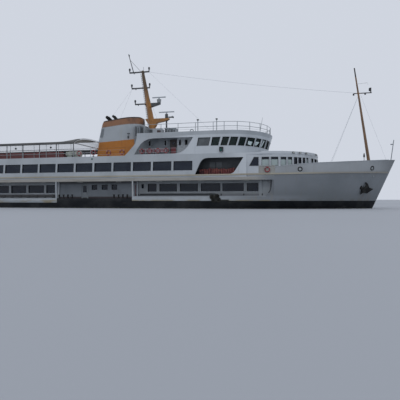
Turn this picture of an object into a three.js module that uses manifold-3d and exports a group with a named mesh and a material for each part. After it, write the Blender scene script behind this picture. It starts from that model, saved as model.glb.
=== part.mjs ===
// City passenger ferry, as a 1:2 scale model.
// Shapes are written in metres of the full-size ship and scaled once, at the end, to model millimetres.
// +X is forward, +Y is port, +Z is up. The origin is amidships on the centreline, at the waterline.
import * as THREE from 'three';
import { mergeVertices } from 'three/addons/utils/BufferGeometryUtils.js';
import Module from 'manifold-3d';

const wasm = await Module();
wasm.setup();

// Scale of the model, the gap between pieces that touch, the one round moving pieces,
// and the size under which a stray edge of a joined solid is dropped
const MODEL_SCALE = 1 / 2;
const MM_PER_METRE = 1000 * MODEL_SCALE;
const GAP = 0.3 / MM_PER_METRE;
const RUNNING_GAP = 6 / MM_PER_METRE;
const SMALLEST = 0.1 / MM_PER_METRE;

// Driving dimensions of the ship, in metres
const STERN_X = -34;
const HALF_BEAM = 6.6;
const DRAUGHT = 2.6;
const FRAME_PITCH = 2.52;

// Heights above the waterline
const Z = {
  blackTop: 0.9,
  mainDeck: 0.97,
  bayEdge: 1.2,
  aftBulwark: 1.2,
  mainBulwark: 1.42,
  galleryTop: 3.25,
  upperDeck: 3.6,
  knuckle: 3.83,
  sillUpper: 4.38,
  headUpper: 5.52,
  boatDeckUnder: 6.12,
  boatDeck: 6.3,
  roofUnder: 8.5,
  roof: 8.95,
};

// Lengthwise places
const X = {
  bayAft: -6.2,
  bayFore: 3.85,
  galleryFore: 20.5,
  mainSaloonAft: -26.4,
  upperSaloonAft: -24.4,
  upperWindowsFore: 11.28,
  saloonSplit: 17.5,
  saloonArc: 19,
  boatDeckAft: -28,
  screenAft: 2.88,
  screenFore: 11.5,
  bridgeArc: 14.5,
  casingFore: 3.3,
};

const WALL = 0.12;
const MAIN_SALOON_HALF = 5.0;
const HOUSE_HALF = 4.6;

// Finishes of the pieces: colour, roughness, metalness
const FINISHES = {
  white_paint: [0xc9cfd0, 0.5, 0.05],
  black_paint: [0x15181b, 0.55, 0.05],
  deck_paint: [0x5d6a66, 0.8, 0.0],
  grey_paint: [0x7f888d, 0.6, 0.1],
  orange_paint: [0xb4742a, 0.5, 0.05],
  band_paint: [0xb0784e, 0.5, 0.05],
  beige_paint: [0xb4a588, 0.5, 0.05],
  glass: [0x1b2530, 0.15, 0.0],
  dark_metal: [0x23272b, 0.5, 0.5],
  canopy_cloth: [0x54564c, 0.8, 0.0],
  bench_wood: [0x532b29, 0.7, 0.0],
  raft_shell: [0xd2d8cc, 0.5, 0.0],
  door_paint: [0x3a2c26, 0.6, 0.0],
  bronze: [0x9a6b35, 0.35, 0.8],
};

// Hull form, level by level. Columns: height, half breadth, stern end, start of the stern run,
// start of the bow taper, stem, fullness of the bow, fullness of the stern, roundness of the stern
const LEVEL_COLUMNS = ['z', 'half', 'stern', 'run', 'taper', 'stem', 'bowFull', 'aftFull', 'aftRound'];
const LEVEL_ROWS = [
  [-DRAUGHT, 3.6, -15, -5, -2, 28.2, 1.5, 1.6, 1.0],
  [-2.3, 5.3, -18, -8, 0, 29.9, 1.55, 1.6, 1.0],
  [-1.7, 6.1, -22, -12, 2, 30.6, 1.6, 1.7, 1.05],
  [-0.55, 6.4, -28, -17, 4, 31.25, 1.75, 2.0, 1.3],
  [0, 6.46, -32.4, -20, 8, 31.5, 2.0, 2.3, 1.6],
  [Z.blackTop, 6.5, -33.7, -23, 12, 31.9, 2.4, 2.6, 1.9],
  [Z.knuckle, HALF_BEAM, STERN_X, -25, 13, 33.2, 2.7, 2.6, 2.1],
  [5.67, 6.44, STERN_X, -25, 13, 34.0, 2.8, 2.6, 2.1],
  [Z.roof, 6.155, STERN_X, -25, 13, 35.4, 2.9, 2.6, 2.1],
];
const BOW_ROUND = 1.15;

function levelAt(z) {
  const rows = LEVEL_ROWS;
  let upper = 1;
  while (upper < rows.length - 1 && rows[upper][0] < z) upper += 1;
  const low = rows[upper - 1];
  const high = rows[upper];
  const share = (z - low[0]) / (high[0] - low[0]);
  const level = {};
  LEVEL_COLUMNS.forEach((column, i) => {
    level[column] = low[i] + (high[i] - low[i]) * share;
  });
  return level;
}

// Half breadth of the outside of the ship at a place and height, moved inward by an inset
function halfAt(x, z, inset = 0) {
  const level = levelAt(z);
  const half = level.half - inset;
  const stem = level.stem - 2 * inset;
  const stern = level.stern + inset;
  if (x > level.taper) {
    const t = Math.min(1, (x - level.taper) / (stem - level.taper));
    return half * (1 - t ** level.bowFull) ** (1 / BOW_ROUND);
  }
  if (x < level.run) {
    const t = Math.min(1, (level.run - x) / (level.run - stern));
    return half * (1 - t ** level.aftFull) ** (1 / level.aftRound);
  }
  return half;
}

// Outline of the ship at one height, anticlockwise from the stern along starboard to the stem and back
const STERN_STEPS = [1, 0.985, 0.94, 0.86, 0.72, 0.5, 0.25, 0];
const BOW_STEPS = [0, 0.2, 0.36, 0.5, 0.62, 0.74, 0.85, 0.94, 1];

function outlineAt(z, inset = 0) {
  const level = levelAt(z);
  const stem = level.stem - 2 * inset;
  const stern = level.stern + inset;
  const xs = [
    ...STERN_STEPS.map((t) => level.run + (stern - level.run) * t),
    ...BOW_STEPS.map((t) => level.taper + (stem - level.taper) * t),
  ];
  const side = xs.map((x) => [x, halfAt(x, z, inset)]);
  side[0][1] = 0;
  side[side.length - 1][1] = 0;
  const starboard = side.map(([x, y]) => [x, -y]);
  const port = side.slice(1, -1).reverse();
  return [...starboard, ...port];
}

// Solid makers

function manifoldFrom(positions, indices) {
  return new wasm.Manifold(new wasm.Mesh({
    numProp: 3,
    vertProperties: Float32Array.from(positions),
    triVerts: Uint32Array.from(indices),
  }));
}

function solidOf(geometry) {
  const bare = geometry.clone();
  bare.deleteAttribute('normal');
  bare.deleteAttribute('uv');
  const merged = mergeVertices(bare, 1e-5);
  return manifoldFrom(merged.attributes.position.array, merged.index.array);
}

// Closed solid through level rings that have the same number of points and run anticlockwise.
// The two halves of a ring are split along mirrored diagonals, so that a symmetric form stays so.
function loft(rings) {
  const count = rings[0].length;
  const positions = rings.flat(2);
  const indices = [];
  for (let i = 0; i < rings.length - 1; i += 1) {
    for (let j = 0; j < count; j += 1) {
      const a = i * count + j;
      const b = i * count + (j + 1) % count;
      if (2 * j < count - 1) indices.push(a, b, b + count, a, b + count, a + count);
      else indices.push(a, b, a + count, b, b + count, a + count);
    }
  }
  const last = (rings.length - 1) * count;
  const flat = (ring) => ring.map(([x, y]) => new THREE.Vector2(x, y));
  THREE.ShapeUtils.triangulateShape(flat(rings[0]), []).forEach(([a, b, c]) => indices.push(a, c, b));
  THREE.ShapeUtils.triangulateShape(flat(rings.at(-1)), []).forEach(([a, b, c]) => {
    indices.push(last + a, last + b, last + c);
  });
  return manifoldFrom(positions, indices);
}

function slab(heights, inset = 0) {
  return loft(heights.map((z) => outlineAt(z, inset).map(([x, y]) => [x, y, z])));
}

function box(x0, x1, y0, y1, z0, z1) {
  const geometry = new THREE.BoxGeometry(x1 - x0, y1 - y0, z1 - z0);
  geometry.translate((x0 + x1) / 2, (y0 + y1) / 2, (z0 + z1) / 2);
  return solidOf(geometry);
}

function shapeOf(points) {
  return new THREE.Shape(points.map(([a, b]) => new THREE.Vector2(a, b)));
}

// Prism of an outline in side view, between two places across the ship
function sidePrism(points, y0, y1) {
  const geometry = new THREE.ExtrudeGeometry(shapeOf(points), { depth: y1 - y0, bevelEnabled: false });
  geometry.rotateX(Math.PI / 2);
  geometry.translate(0, y1, 0);
  return solidOf(geometry);
}

// Prism of an outline in plan, between two heights
function planPrism(points, z0, z1) {
  const geometry = new THREE.ExtrudeGeometry(shapeOf(points), { depth: z1 - z0, bevelEnabled: false });
  geometry.translate(0, 0, z0);
  return solidOf(geometry);
}

// Prism of an outline seen from ahead, between two places along the ship
function endPrism(points, x0, x1) {
  const geometry = new THREE.ExtrudeGeometry(shapeOf(points), { depth: x1 - x0, bevelEnabled: false });
  const turn = new THREE.Matrix4().makeBasis(
    new THREE.Vector3(0, 1, 0),
    new THREE.Vector3(0, 0, 1),
    new THREE.Vector3(1, 0, 0),
  );
  geometry.applyMatrix4(turn);
  geometry.translate(x0, 0, 0);
  return solidOf(geometry);
}

// Round or square bar between two points, with its two radii
function bar(from, to, radius, sides = 8, endRadius = radius) {
  const a = new THREE.Vector3(...from);
  const b = new THREE.Vector3(...to);
  const geometry = new THREE.CylinderGeometry(endRadius, radius, a.distanceTo(b), sides);
  const turn = new THREE.Quaternion().setFromUnitVectors(
    new THREE.Vector3(0, 1, 0),
    b.clone().sub(a).normalize(),
  );
  geometry.applyQuaternion(turn);
  const middle = a.clone().add(b).multiplyScalar(0.5);
  geometry.translate(middle.x, middle.y, middle.z);
  return solidOf(geometry);
}

function join(solids) {
  return solids.reduce((whole, next) => whole.add(next));
}

function mirrored(solid) {
  return solid.mirror([0, 1, 0]);
}

// Outline with rounded corners. Columns: two coordinates, corner radius
const CORNER_STEPS = 4;

function rounded(corners) {
  return corners.flatMap(([x, y, radius], i) => {
    if (!radius) return [[x, y]];
    const corner = new THREE.Vector2(x, y);
    const before = new THREE.Vector2(...corners.at(i - 1).slice(0, 2)).sub(corner).normalize();
    const after = new THREE.Vector2(...corners[(i + 1) % corners.length].slice(0, 2)).sub(corner).normalize();
    const start = corner.clone().addScaledVector(before, radius);
    const end = corner.clone().addScaledVector(after, radius);
    const curve = new THREE.QuadraticBezierCurve(start, corner, end);
    return curve.getPoints(CORNER_STEPS).map((point) => [point.x, point.y]);
  });
}

// The ship, and the maker of its named pieces
const ship = new THREE.Group();
ship.scale.setScalar(MM_PER_METRE);

function piece(name, solid, finish) {
  const mesh = solid.simplify(SMALLEST).getMesh();
  const geometry = new THREE.BufferGeometry();
  geometry.setAttribute('position', new THREE.BufferAttribute(Float32Array.from(mesh.vertProperties), 3));
  geometry.setIndex(new THREE.BufferAttribute(Uint32Array.from(mesh.triVerts), 1));
  geometry.computeVertexNormals();
  const [color, roughness, metalness] = FINISHES[finish];
  const material = new THREE.MeshStandardMaterial({ color, roughness, metalness });
  const made = new THREE.Mesh(geometry, material);
  made.name = name;
  ship.add(made);
}

function pair(name, starboardSolid, finish) {
  piece(`${name}_starboard`, starboardSolid, finish);
  piece(`${name}_port`, mirrored(starboardSolid), finish);
}

// Underwater gear: twin screws on bracketed shafts, each with a spade rudder behind it
const GEAR = {
  y: -2.6,
  shaftZ: -1.5,
  shaftRadius: 0.11,
  shaftFore: -18.2,
  shaftAft: -26.9,
  bracketX: -25.6,
  propX: -27.25,
  propRadius: 0.78,
  hubRadius: 0.17,
  bladeChord: 0.5,
  stockX: -28.75,
  stockRadius: 0.09,
  stockTop: -0.02,
  rudderTop: -0.82,
  rudderFoot: -2.3,
};

// Shaft with its two-armed bracket; grown, it is the pocket that the hull keeps for it
function shaftLine(grow) {
  const { y, shaftZ, shaftRadius, shaftFore, shaftAft, bracketX } = GEAR;
  const arm = (footY) => {
    const plate = [[-0.05, 0], [0.05, 0], [0.05, 1.6], [-0.05, 1.6]];
    const wide = plate.map(([a, b]) => [a + Math.sign(a) * grow, b + (b > 0 ? grow : 0)]);
    const lean = (footY - y) / 1.6;
    const leaning = wide.map(([a, b]) => [y + a + lean * b, shaftZ + b]);
    return endPrism(leaning, bracketX - 0.25 - grow, bracketX + 0.25 + grow);
  };
  return join([
    bar([shaftFore + grow, y, shaftZ], [shaftAft - grow, y, shaftZ], shaftRadius + grow, 10),
    bar([bracketX + 0.4, y, shaftZ], [bracketX - 0.4, y, shaftZ], shaftRadius + 0.07 + grow, 10),
    arm(y - 0.75),
    arm(y + 0.75),
  ]);
}

function propeller() {
  const { y, shaftZ, shaftAft, propX, propRadius, hubRadius, bladeChord } = GEAR;
  const hub = bar([shaftAft - GAP, y, shaftZ], [propX - 0.35, y, shaftZ], hubRadius, 12, 0.06);
  const bladeOutline = rounded([
    [-0.12, 0.05, 0],
    [0.12, 0.05, 0],
    [bladeChord / 2 + 0.05, 0.5, 0.12],
    [0.12, propRadius, 0.1],
    [-0.12, propRadius, 0.1],
    [-bladeChord / 2, 0.5, 0.12],
  ]);
  const blades = [0, 1, 2, 3].map((turn) => {
    const geometry = new THREE.ExtrudeGeometry(shapeOf(bladeOutline), { depth: 0.045, bevelEnabled: false });
    geometry.translate(0, 0, -0.0225);
    geometry.rotateY(Math.PI / 2 - 0.55);
    geometry.rotateX(Math.PI / 2);
    geometry.rotateX((turn * Math.PI) / 2 + 0.4);
    geometry.translate(propX, y, shaftZ);
    return solidOf(geometry);
  });
  return join([hub, ...blades]);
}

function rudder() {
  const { y, stockX, stockRadius, stockTop, rudderTop, rudderFoot } = GEAR;
  const blade = planPrism([
    [stockX + 0.45, y],
    [stockX + 0.3, y + 0.1],
    [stockX - 0.1, y + 0.12],
    [stockX - 0.85, y + 0.02],
    [stockX - 0.85, y - 0.02],
    [stockX - 0.1, y - 0.12],
    [stockX + 0.3, y - 0.1],
  ], rudderFoot, rudderTop);
  return join([blade, bar([stockX, y, rudderTop - 0.1], [stockX, y, stockTop], stockRadius, 12)]);
}

function hull() {
  const body = slab(LEVEL_ROWS.filter(([z]) => z <= Z.blackTop).map(([z]) => z));
  const skeg = sidePrism([
    [-12, -DRAUGHT],
    [-25.5, -DRAUGHT + 0.15],
    [-26.4, -1.0],
    [-26, -0.3],
    [-12, -0.3],
  ], -0.14, 0.14);
  const shaft = shaftLine(GAP);
  const { y, stockX, stockRadius, stockTop } = GEAR;
  const stockPocket = bar([stockX, y, -1], [stockX, y, stockTop + GAP], stockRadius + RUNNING_GAP / 2, 12);
  const pockets = join([shaft, mirrored(shaft), stockPocket, mirrored(stockPocket)]);
  return join([body, skeg]).subtract(pockets);
}

piece('hull', hull(), 'black_paint');
pair('shaft_line', shaftLine(0), 'dark_metal');
pair('propeller', propeller(), 'bronze');
pair('rudder', rudder(), 'black_paint');

// Threshold of each boarding bay, a sill along the edge of the hull
const THRESHOLD_WIDTH = 0.25;

function threshold() {
  const low = Z.blackTop + GAP;
  const inner = slab([low - 0.1, Z.bayEdge + 0.1], THRESHOLD_WIDTH);
  const reach = box(X.bayAft + GAP, X.bayFore - GAP, -8, 0, 0, Z.bayEdge + 1);
  return slab([low, Z.bayEdge]).subtract(inner).intersect(reach);
}
pair('threshold', threshold(), 'black_paint');

// Main deck, between the thresholds of the boarding bays
function mainDeck() {
  const plate = slab([Z.blackTop + GAP, Z.mainDeck], 0.3);
  return plate.intersect(box(-40, X.galleryFore - GAP, -8, 8, 0, 2));
}
piece('main_deck', mainDeck(), 'deck_paint');

// White bow hull, solid under the foredeck
function bowHull() {
  return slab([Z.blackTop + GAP, Z.upperDeck]).intersect(box(X.galleryFore, 40, -8, 8, 0, 5));
}
piece('bow_hull', bowHull(), 'white_paint');

// Shell of the ship's side between heights, as thick as its wall
function shell(heights, thickness = WALL) {
  const tall = [heights[0] - 0.05, ...heights.slice(1, -1), heights.at(-1) + 0.05];
  return slab(heights).subtract(slab(tall, thickness));
}

// Main-deck bulwarks: one runs round the stern, the others run forward to the bow hull
function mainBulwarks() {
  const low = Z.blackTop + GAP;
  const plating = shell([low, Z.galleryTop - GAP]);
  const aftProfile = [
    [-35, low],
    [X.bayAft, low],
    [X.bayAft, Z.galleryTop],
    [X.bayAft - 0.16, Z.galleryTop],
    [X.bayAft - 0.16, Z.aftBulwark],
    [-35, Z.aftBulwark],
  ];
  const foreProfile = rounded([
    [X.bayFore, low, 0],
    [X.galleryFore - GAP, low, 0],
    [X.galleryFore - GAP, Z.galleryTop, 0],
    [X.galleryFore - 0.16, Z.galleryTop, 0],
    [X.galleryFore - 0.42, Z.mainBulwark + 0.08, 0.9],
    [X.bayFore + 0.2, Z.mainBulwark, 0.05],
    [X.bayFore + 0.16, Z.galleryTop, 0],
    [X.bayFore, Z.galleryTop, 0],
  ]);
  const sternPosts = [-28.4, -31.2].map((x) => box(x - 0.1, x + 0.1, -8, 8, low, Z.galleryTop));
  const aft = plating.intersect(join([sidePrism(aftProfile, -8, 8), ...sternPosts]));
  piece('bulwark_aft', aft, 'white_paint');
  pair('bulwark_fore', plating.intersect(sidePrism(foreProfile, -8, 0)), 'white_paint');
}
mainBulwarks();

// Windows of the main saloon, starboard and port alike. Columns: aft edge, fore edge, sill, head
const MAIN_WINDOWS = [
  [-24.35, -22.05, 1.85, 2.93],
  [-21.75, -19.45, 1.85, 2.93],
  [-19.15, -16.85, 1.85, 2.93],
  [-16.55, -14.25, 1.85, 2.93],
  [-13.93, -11.61, 1.85, 2.93],
  [-11.33, -8.99, 1.85, 2.93],
  [-8.7, -7.4, 1.85, 2.93],
  [-2.22, -1.46, 2.26, 2.89],
  [-0.85, -0.04, 2.26, 2.89],
  [0.5, 1.24, 2.26, 2.89],
  [4.46, 4.78, 2.4, 2.92],
  [5.25, 6.42, 1.97, 2.99],
  [6.75, 8.99, 1.97, 2.99],
  [9.33, 11.58, 1.97, 2.99],
  [11.9, 14.27, 1.97, 2.99],
  [14.48, 17.0, 1.97, 2.99],
  [17.31, 18.68, 1.97, 2.99],
];
const MAIN_DOOR = { aft: -3.66, fore: -2.66, top: 3.0 };

function mainSaloonWalls() {
  const low = Z.mainDeck + GAP;
  const high = Z.galleryTop - GAP;
  const half = MAIN_SALOON_HALF;
  const foreX = X.galleryFore - GAP;
  const outside = box(X.mainSaloonAft, foreX, -half, half, low, high);
  const inside = box(X.mainSaloonAft + WALL, foreX - WALL, -half + WALL, half - WALL, low - 1, high + 1);
  const windows = MAIN_WINDOWS.map(([aft, fore, sill, head]) => box(aft, fore, -8, 8, sill, head));
  const doors = box(MAIN_DOOR.aft, MAIN_DOOR.fore, -8, 8, 0, MAIN_DOOR.top);
  return outside.subtract(inside).subtract(join([...windows, doors]));
}
piece('main_saloon_walls', mainSaloonWalls(), 'white_paint');

// Pane strip behind the main saloon's windows, stepped over the doorway
function mainGlass() {
  const outer = MAIN_SALOON_HALF - WALL - GAP;
  const strip = box(-24.3, 18.9, -outer, -outer + 0.03, 1.8, 3.08);
  return strip.subtract(box(-6.3, -2.45, -8, 0, 0, MAIN_DOOR.top + 0.02));
}
pair('main_glass', mainGlass(), 'glass');

// Hinged leaf in a doorway of a wall that runs lengthwise; its pin stands in the wall's outer face
// and its knuckles reach the jamb
function doorLeaf({ aft, fore, top }, foot, half) {
  const clear = 2 * RUNNING_GAP;
  const pinX = aft + clear;
  const leaf = box(pinX, fore - clear, -half, -half + 0.05, foot + clear, top - clear);
  const knuckles = [0.25, 0.75].map((share) => {
    const z = foot + (top - foot) * share;
    return bar([pinX, -half, z - 0.08], [pinX, -half, z + 0.08], clear - GAP, 8);
  });
  return join([leaf, ...knuckles]);
}
pair('main_door', doorLeaf(MAIN_DOOR, Z.mainDeck, MAIN_SALOON_HALF), 'grey_paint');

// Upper deck, over the main saloon and its side galleries
function upperDeck() {
  return slab([Z.galleryTop, Z.upperDeck]).intersect(box(-40, X.galleryFore - GAP, -8, 8, 0, 5));
}
piece('upper_deck', upperDeck(), 'white_paint');

// Upper saloon: side walls in the ship's side, a bulkhead aft, windows at every frame
const UPPER_WINDOW_COUNT = 14;
const MULLION = 0.24;
const LOBBY_OPENING = rounded([
  [11.6, 3.92, 0.05],
  [16.0, 3.92, 0.5],
  [17.15, 5.8, 0.08],
  [12.4, 5.8, 0.7],
]);

function upperSaloonWalls() {
  const low = Z.upperDeck + GAP;
  const high = Z.boatDeckUnder - GAP;
  const outside = slab([low, Z.knuckle, high]).intersect(box(X.upperSaloonAft, X.saloonSplit, -8, 8, 0, 10));
  const inside = slab([low - 0.05, Z.knuckle, high + 0.05], WALL).intersect(
    box(X.upperSaloonAft + WALL, X.saloonSplit + 1, -8, 8, 0, 10),
  );
  const windows = [];
  for (let i = 0; i < UPPER_WINDOW_COUNT; i += 1) {
    const fore = X.upperWindowsFore - i * FRAME_PITCH;
    const aft = fore - FRAME_PITCH + MULLION;
    windows.push(box(aft, fore, -8, 8, Z.sillUpper, Z.headUpper));
  }
  const doorway = box(X.upperSaloonAft - 1, X.upperSaloonAft + 1, -0.8, 0.8, low - 0.1, 5.7);
  const cuts = join([...windows, sidePrism(LOBBY_OPENING, -8, 8), doorway]);
  return outside.subtract(inside).subtract(cuts);
}
piece('upper_saloon_walls', upperSaloonWalls(), 'white_paint');

function upperGlass() {
  const heights = [Z.sillUpper - 0.1, Z.headUpper + 0.1];
  const strip = slab(heights, WALL + GAP).subtract(slab([heights[0] - 0.05, heights[1] + 0.05], WALL + 0.03));
  const aft = X.upperWindowsFore - UPPER_WINDOW_COUNT * FRAME_PITCH - 0.1;
  return strip.intersect(box(aft, X.upperWindowsFore + 0.15, -8, 0, 0, 10));
}
pair('upper_glass', upperGlass(), 'glass');

// Bulkheads that stand back from the lobby openings
function lobbyBulkheads() {
  const low = Z.upperDeck + GAP;
  const high = Z.boatDeckUnder - GAP;
  const half = MAIN_SALOON_HALF;
  return join([
    box(11.5, 17.3, -half, -half + WALL, low, high),
    box(11.5, 17.3, half - WALL, half, low, high),
    box(11.5, 11.5 + WALL, -half, half, low, high),
  ]);
}
piece('lobby_bulkheads', lobbyBulkheads(), 'grey_paint');

// Outline in plan of a deckhouse with straight sides and a half-ellipse front
const FRONT_STEPS = 16;

function houseOutline(aftX, arcX, foreX, half, inset) {
  const points = [[aftX, -half + inset]];
  for (let i = 0; i <= FRONT_STEPS; i += 1) {
    const angle = -Math.PI / 2 + (Math.PI * i) / FRONT_STEPS;
    const reach = foreX - arcX - inset;
    points.push([arcX + reach * Math.cos(angle), (half - inset) * Math.sin(angle)]);
  }
  points.push([aftX, half - inset]);
  return points;
}

// Columns of each row: height, front at the centreline, half breadth
function houseBody(rows, aftX, arcX, inset) {
  return loft(rows.map(([z, foreX, half]) => {
    return houseOutline(aftX, arcX, foreX, half, inset).map(([x, y]) => [x, y, z]);
  }));
}

function stretched(rows, extra) {
  const [first, last] = [rows[0], rows.at(-1)];
  return [[first[0] - extra, first[1], first[2]], ...rows.slice(1, -1), [last[0] + extra, last[1], last[2]]];
}

// Window cut in a curved front, between two angles from the centreline, in degrees
function frontCut(arcX, foreX, half, low, high, sill, head) {
  const at = (degrees, reach) => {
    const angle = THREE.MathUtils.degToRad(degrees);
    return [arcX + (foreX - arcX) * reach * Math.cos(angle), -half * reach * Math.sin(angle)];
  };
  return planPrism([at(high, 0.8), at(high, 1.2), at(low, 1.2), at(low, 0.8)], sill, head);
}

// Pane that lines a curved front from inside, seated on the wall's inner face
const PANE = 0.03;

function frontPane(rows, aftX, arcX) {
  const outer = houseBody(rows, aftX, arcX, WALL + 2 * GAP);
  return outer.subtract(houseBody(stretched(rows, 0.1), aftX - 0.5, arcX, WALL + PANE));
}

// Saloon front on the upper deck, with a slanted window at each quarter.
// Columns of the front windows: the two edges, in degrees from the centreline
const SALOON = { half: 6.3, fore: 25.3, lean: 0.03, sill: 4.78, head: 5.77, edge: 0.1 };
const SALOON_QUARTER = [
  [17.75, SALOON.sill],
  [18.84, SALOON.sill],
  [18.84, SALOON.head],
  [18.3, SALOON.head],
];
const SALOON_FRONT_WINDOWS = [
  [81, 88.6],
  [71.9, 79.3],
  [63.5, 69.5],
  [57, 62],
  [50.8, 55.2],
  [45.5, 49.8],
  [40, 43.8],
  [34.8, 38.3],
  [24.8, 29],
  [13, 21.5],
  [1.5, 10],
];

function saloonRows(heights) {
  return heights.map((z) => {
    const lean = (Z.boatDeckUnder - z) * SALOON.lean;
    return [z, SALOON.fore + lean, SALOON.half + lean];
  });
}

function saloonFrontWalls() {
  const rows = saloonRows([
    Z.upperDeck + GAP, SALOON.sill - SALOON.edge, SALOON.head + SALOON.edge, Z.boatDeckUnder - GAP,
  ]);
  const aftX = X.saloonSplit + GAP;
  const side = slab([Z.upperDeck, Z.knuckle, 5.67, Z.boatDeckUnder]);
  const outside = houseBody(rows, aftX, X.saloonArc, 0).intersect(side);
  const inside = houseBody(stretched(rows, 0.1), aftX - 0.5, X.saloonArc, WALL);
  const cut = (low, high) => {
    return frontCut(X.saloonArc, SALOON.fore, SALOON.half, low, high, SALOON.sill, SALOON.head);
  };
  const cuts = SALOON_FRONT_WINDOWS.flatMap(([low, high]) => [cut(low, high), cut(-high, -low)]);
  return outside.subtract(inside).subtract(join([...cuts, sidePrism(SALOON_QUARTER, -8, 8)]));
}
piece('saloon_front_walls', saloonFrontWalls(), 'white_paint');
const saloonPaneRows = saloonRows([SALOON.sill - SALOON.edge, SALOON.head + SALOON.edge]);
piece('saloon_front_glass', frontPane(saloonPaneRows, X.saloonSplit + 0.1, X.saloonArc), 'glass');

// Bow bulwark, rising to the stem, with a breasthook plate under the jackstaff
function bowBulwark() {
  const low = Z.upperDeck + GAP;
  const plating = shell([low, Z.knuckle, Z.boatDeckUnder - GAP]);
  const profile = [
    [X.galleryFore, low],
    [36, low],
    [36, 5.73],
    [34, 5.67],
    [29.8, 5.35],
    [26.5, 5.16],
    [25.2, 5.1],
    [23.4, 4.97],
    [22.5, 4.87],
    [21.7, 4.8],
    [21.07, 4.68],
    [X.galleryFore, 4.66],
  ];
  const rim = plating.intersect(sidePrism(profile, -8, 8)).subtract(
    houseBody(saloonRows([low - 1, 7]), 10, X.saloonArc, -GAP),
  );
  const hook = slab([5.2, 5.3], 0.05).intersect(box(32.4, 40, -8, 8, 0, 10));
  return join([rim, hook]);
}
piece('bow_bulwark', bowBulwark(), 'white_paint');

// Rubbing strake along each side, from the stern quarter to the bow
const STRAKE = { proud: 0.07, height: 0.16, stations: [-33, 10, 16, 21, 26, 30, 33.2] };

function strakeHeight(x) {
  return Z.knuckle + 0.37 * Math.max(0, (x - 10) / 24) ** 2;
}

function strake() {
  const heights = [Z.upperDeck + GAP, Z.knuckle, Z.boatDeckUnder - GAP];
  const ring = slab(heights, -STRAKE.proud).subtract(slab(heights, -GAP));
  const edge = (rise) => STRAKE.stations.map((x) => [x, strakeHeight(x) + rise]);
  const band = [...edge(-STRAKE.height / 2), ...edge(STRAKE.height / 2).reverse()];
  return ring.intersect(sidePrism(band, -8, 0));
}
pair('strake', strake(), 'beige_paint');

// Boat deck, which is also the roof of the upper saloon; it is thicker before the wheelhouse
const FORE_EDGE = { aft: 19.15, top: 6.42 };

function boatDeck() {
  const aft = slab([Z.boatDeckUnder, Z.boatDeck]).intersect(box(X.boatDeckAft, X.saloonSplit, -8, 8, 0, 10));
  const outline = (low, high) => {
    const rows = [
      [low, SALOON.fore + 0.03, SALOON.half + 0.03],
      [high, SALOON.fore + 0.01, SALOON.half + 0.02],
    ];
    return houseBody(rows, X.saloonSplit - 0.3, X.saloonArc, 0);
  };
  const edge = outline(Z.boatDeckUnder, FORE_EDGE.top).intersect(box(FORE_EDGE.aft, 30, -8, 8, 0, 10));
  return join([aft, outline(Z.boatDeckUnder, Z.boatDeck), edge]);
}
piece('boat_deck', boatDeck(), 'white_paint');

// Side screens of the boat deck, each with its swept opening
const SCREEN_OUTLINE = [
  [X.screenAft, Z.boatDeck + GAP],
  [X.screenFore - GAP, Z.boatDeck + GAP],
  [X.screenFore - GAP, Z.roofUnder - GAP],
  [4.32, Z.roofUnder - GAP],
  [4.29, 8.27],
  [4.15, 7.69],
  [3.57, 7.02],
];
const SCREEN_OPENING = rounded([
  [4.08, 6.4, 0.05],
  [10.2, 6.4, 1.1],
  [11.3, 8.27, 0.06],
  [5.1, 8.27, 1.3],
]);

function sideScreen() {
  const plating = shell([Z.boatDeck + GAP, Z.roofUnder - GAP], 0.1);
  return plating.intersect(sidePrism(SCREEN_OUTLINE, -8, 0)).subtract(sidePrism(SCREEN_OPENING, -8, 0));
}
pair('side_screen', sideScreen(), 'white_paint');

// House behind the side screens. Columns of its windows: aft edge, fore edge
const HOUSE = { aft: 3.36, fore: 11.4, doorAft: 7.95, doorFore: 8.85, doorTop: 8.3 };
const HOUSE_WINDOWS = [[5.2, 5.53], [7.25, 7.53], [9.1, 9.36], [9.84, 10.17]];

function boatDeckHouse() {
  const low = Z.boatDeck + GAP;
  const high = Z.roofUnder - GAP;
  const outside = box(HOUSE.aft, HOUSE.fore, -HOUSE_HALF, HOUSE_HALF, low, high);
  const innerHalf = HOUSE_HALF - WALL;
  const inside = box(HOUSE.aft + WALL, HOUSE.fore - WALL, -innerHalf, innerHalf, low - 1, high + 1);
  const windows = HOUSE_WINDOWS.map(([aft, fore]) => box(aft, fore, -8, 8, 7.6, 8.2));
  const doorway = box(HOUSE.doorAft, HOUSE.doorFore, -8, 8, 0, HOUSE.doorTop);
  return outside.subtract(inside).subtract(join([...windows, doorway]));
}
piece('boat_deck_house', boatDeckHouse(), 'grey_paint');
const HOUSE_DOOR = { aft: HOUSE.doorAft, fore: HOUSE.doorFore, top: HOUSE.doorTop };
pair('house_door', doorLeaf(HOUSE_DOOR, Z.boatDeck, HOUSE_HALF), 'door_paint');

// Wheelhouse: full beam, with an elliptical front whose whole plan moves forward with the height
const BRIDGE = {
  aft: X.screenFore,
  half: 6.27,
  fore: 19.464,
  midZ: 7.68,
  rake: 0.3,
  sill: 7.19,
  head: 8.17,
  edge: 0.1,
};
const BRIDGE_SIDE_WINDOWS = [[11.85, 13.25], [13.5, 14.4]];
const BRIDGE_FRONT_WINDOWS = [
  [79.5, 88.6], [68, 78], [57, 66], [43.4, 55.4], [32, 41.6], [20, 29], [7.5, 17.5],
];

function bridgeRows(heights) {
  return heights.map((z) => [z, BRIDGE.fore, BRIDGE.half + (7.5 - z) * 0.07]);
}

function rakeAt(z) {
  return (z - BRIDGE.midZ) * BRIDGE.rake;
}

// Body with every level moved forward by the rake, then cut off upright at its after end
function raked(body, aftX) {
  const sheared = body.transform([1, 0, 0, 0, 0, 1, 0, 0, BRIDGE.rake, 0, 1, 0, rakeAt(0), 0, 0, 1]);
  return sheared.intersect(box(aftX, 40, -8, 8, 0, 20));
}

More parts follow.
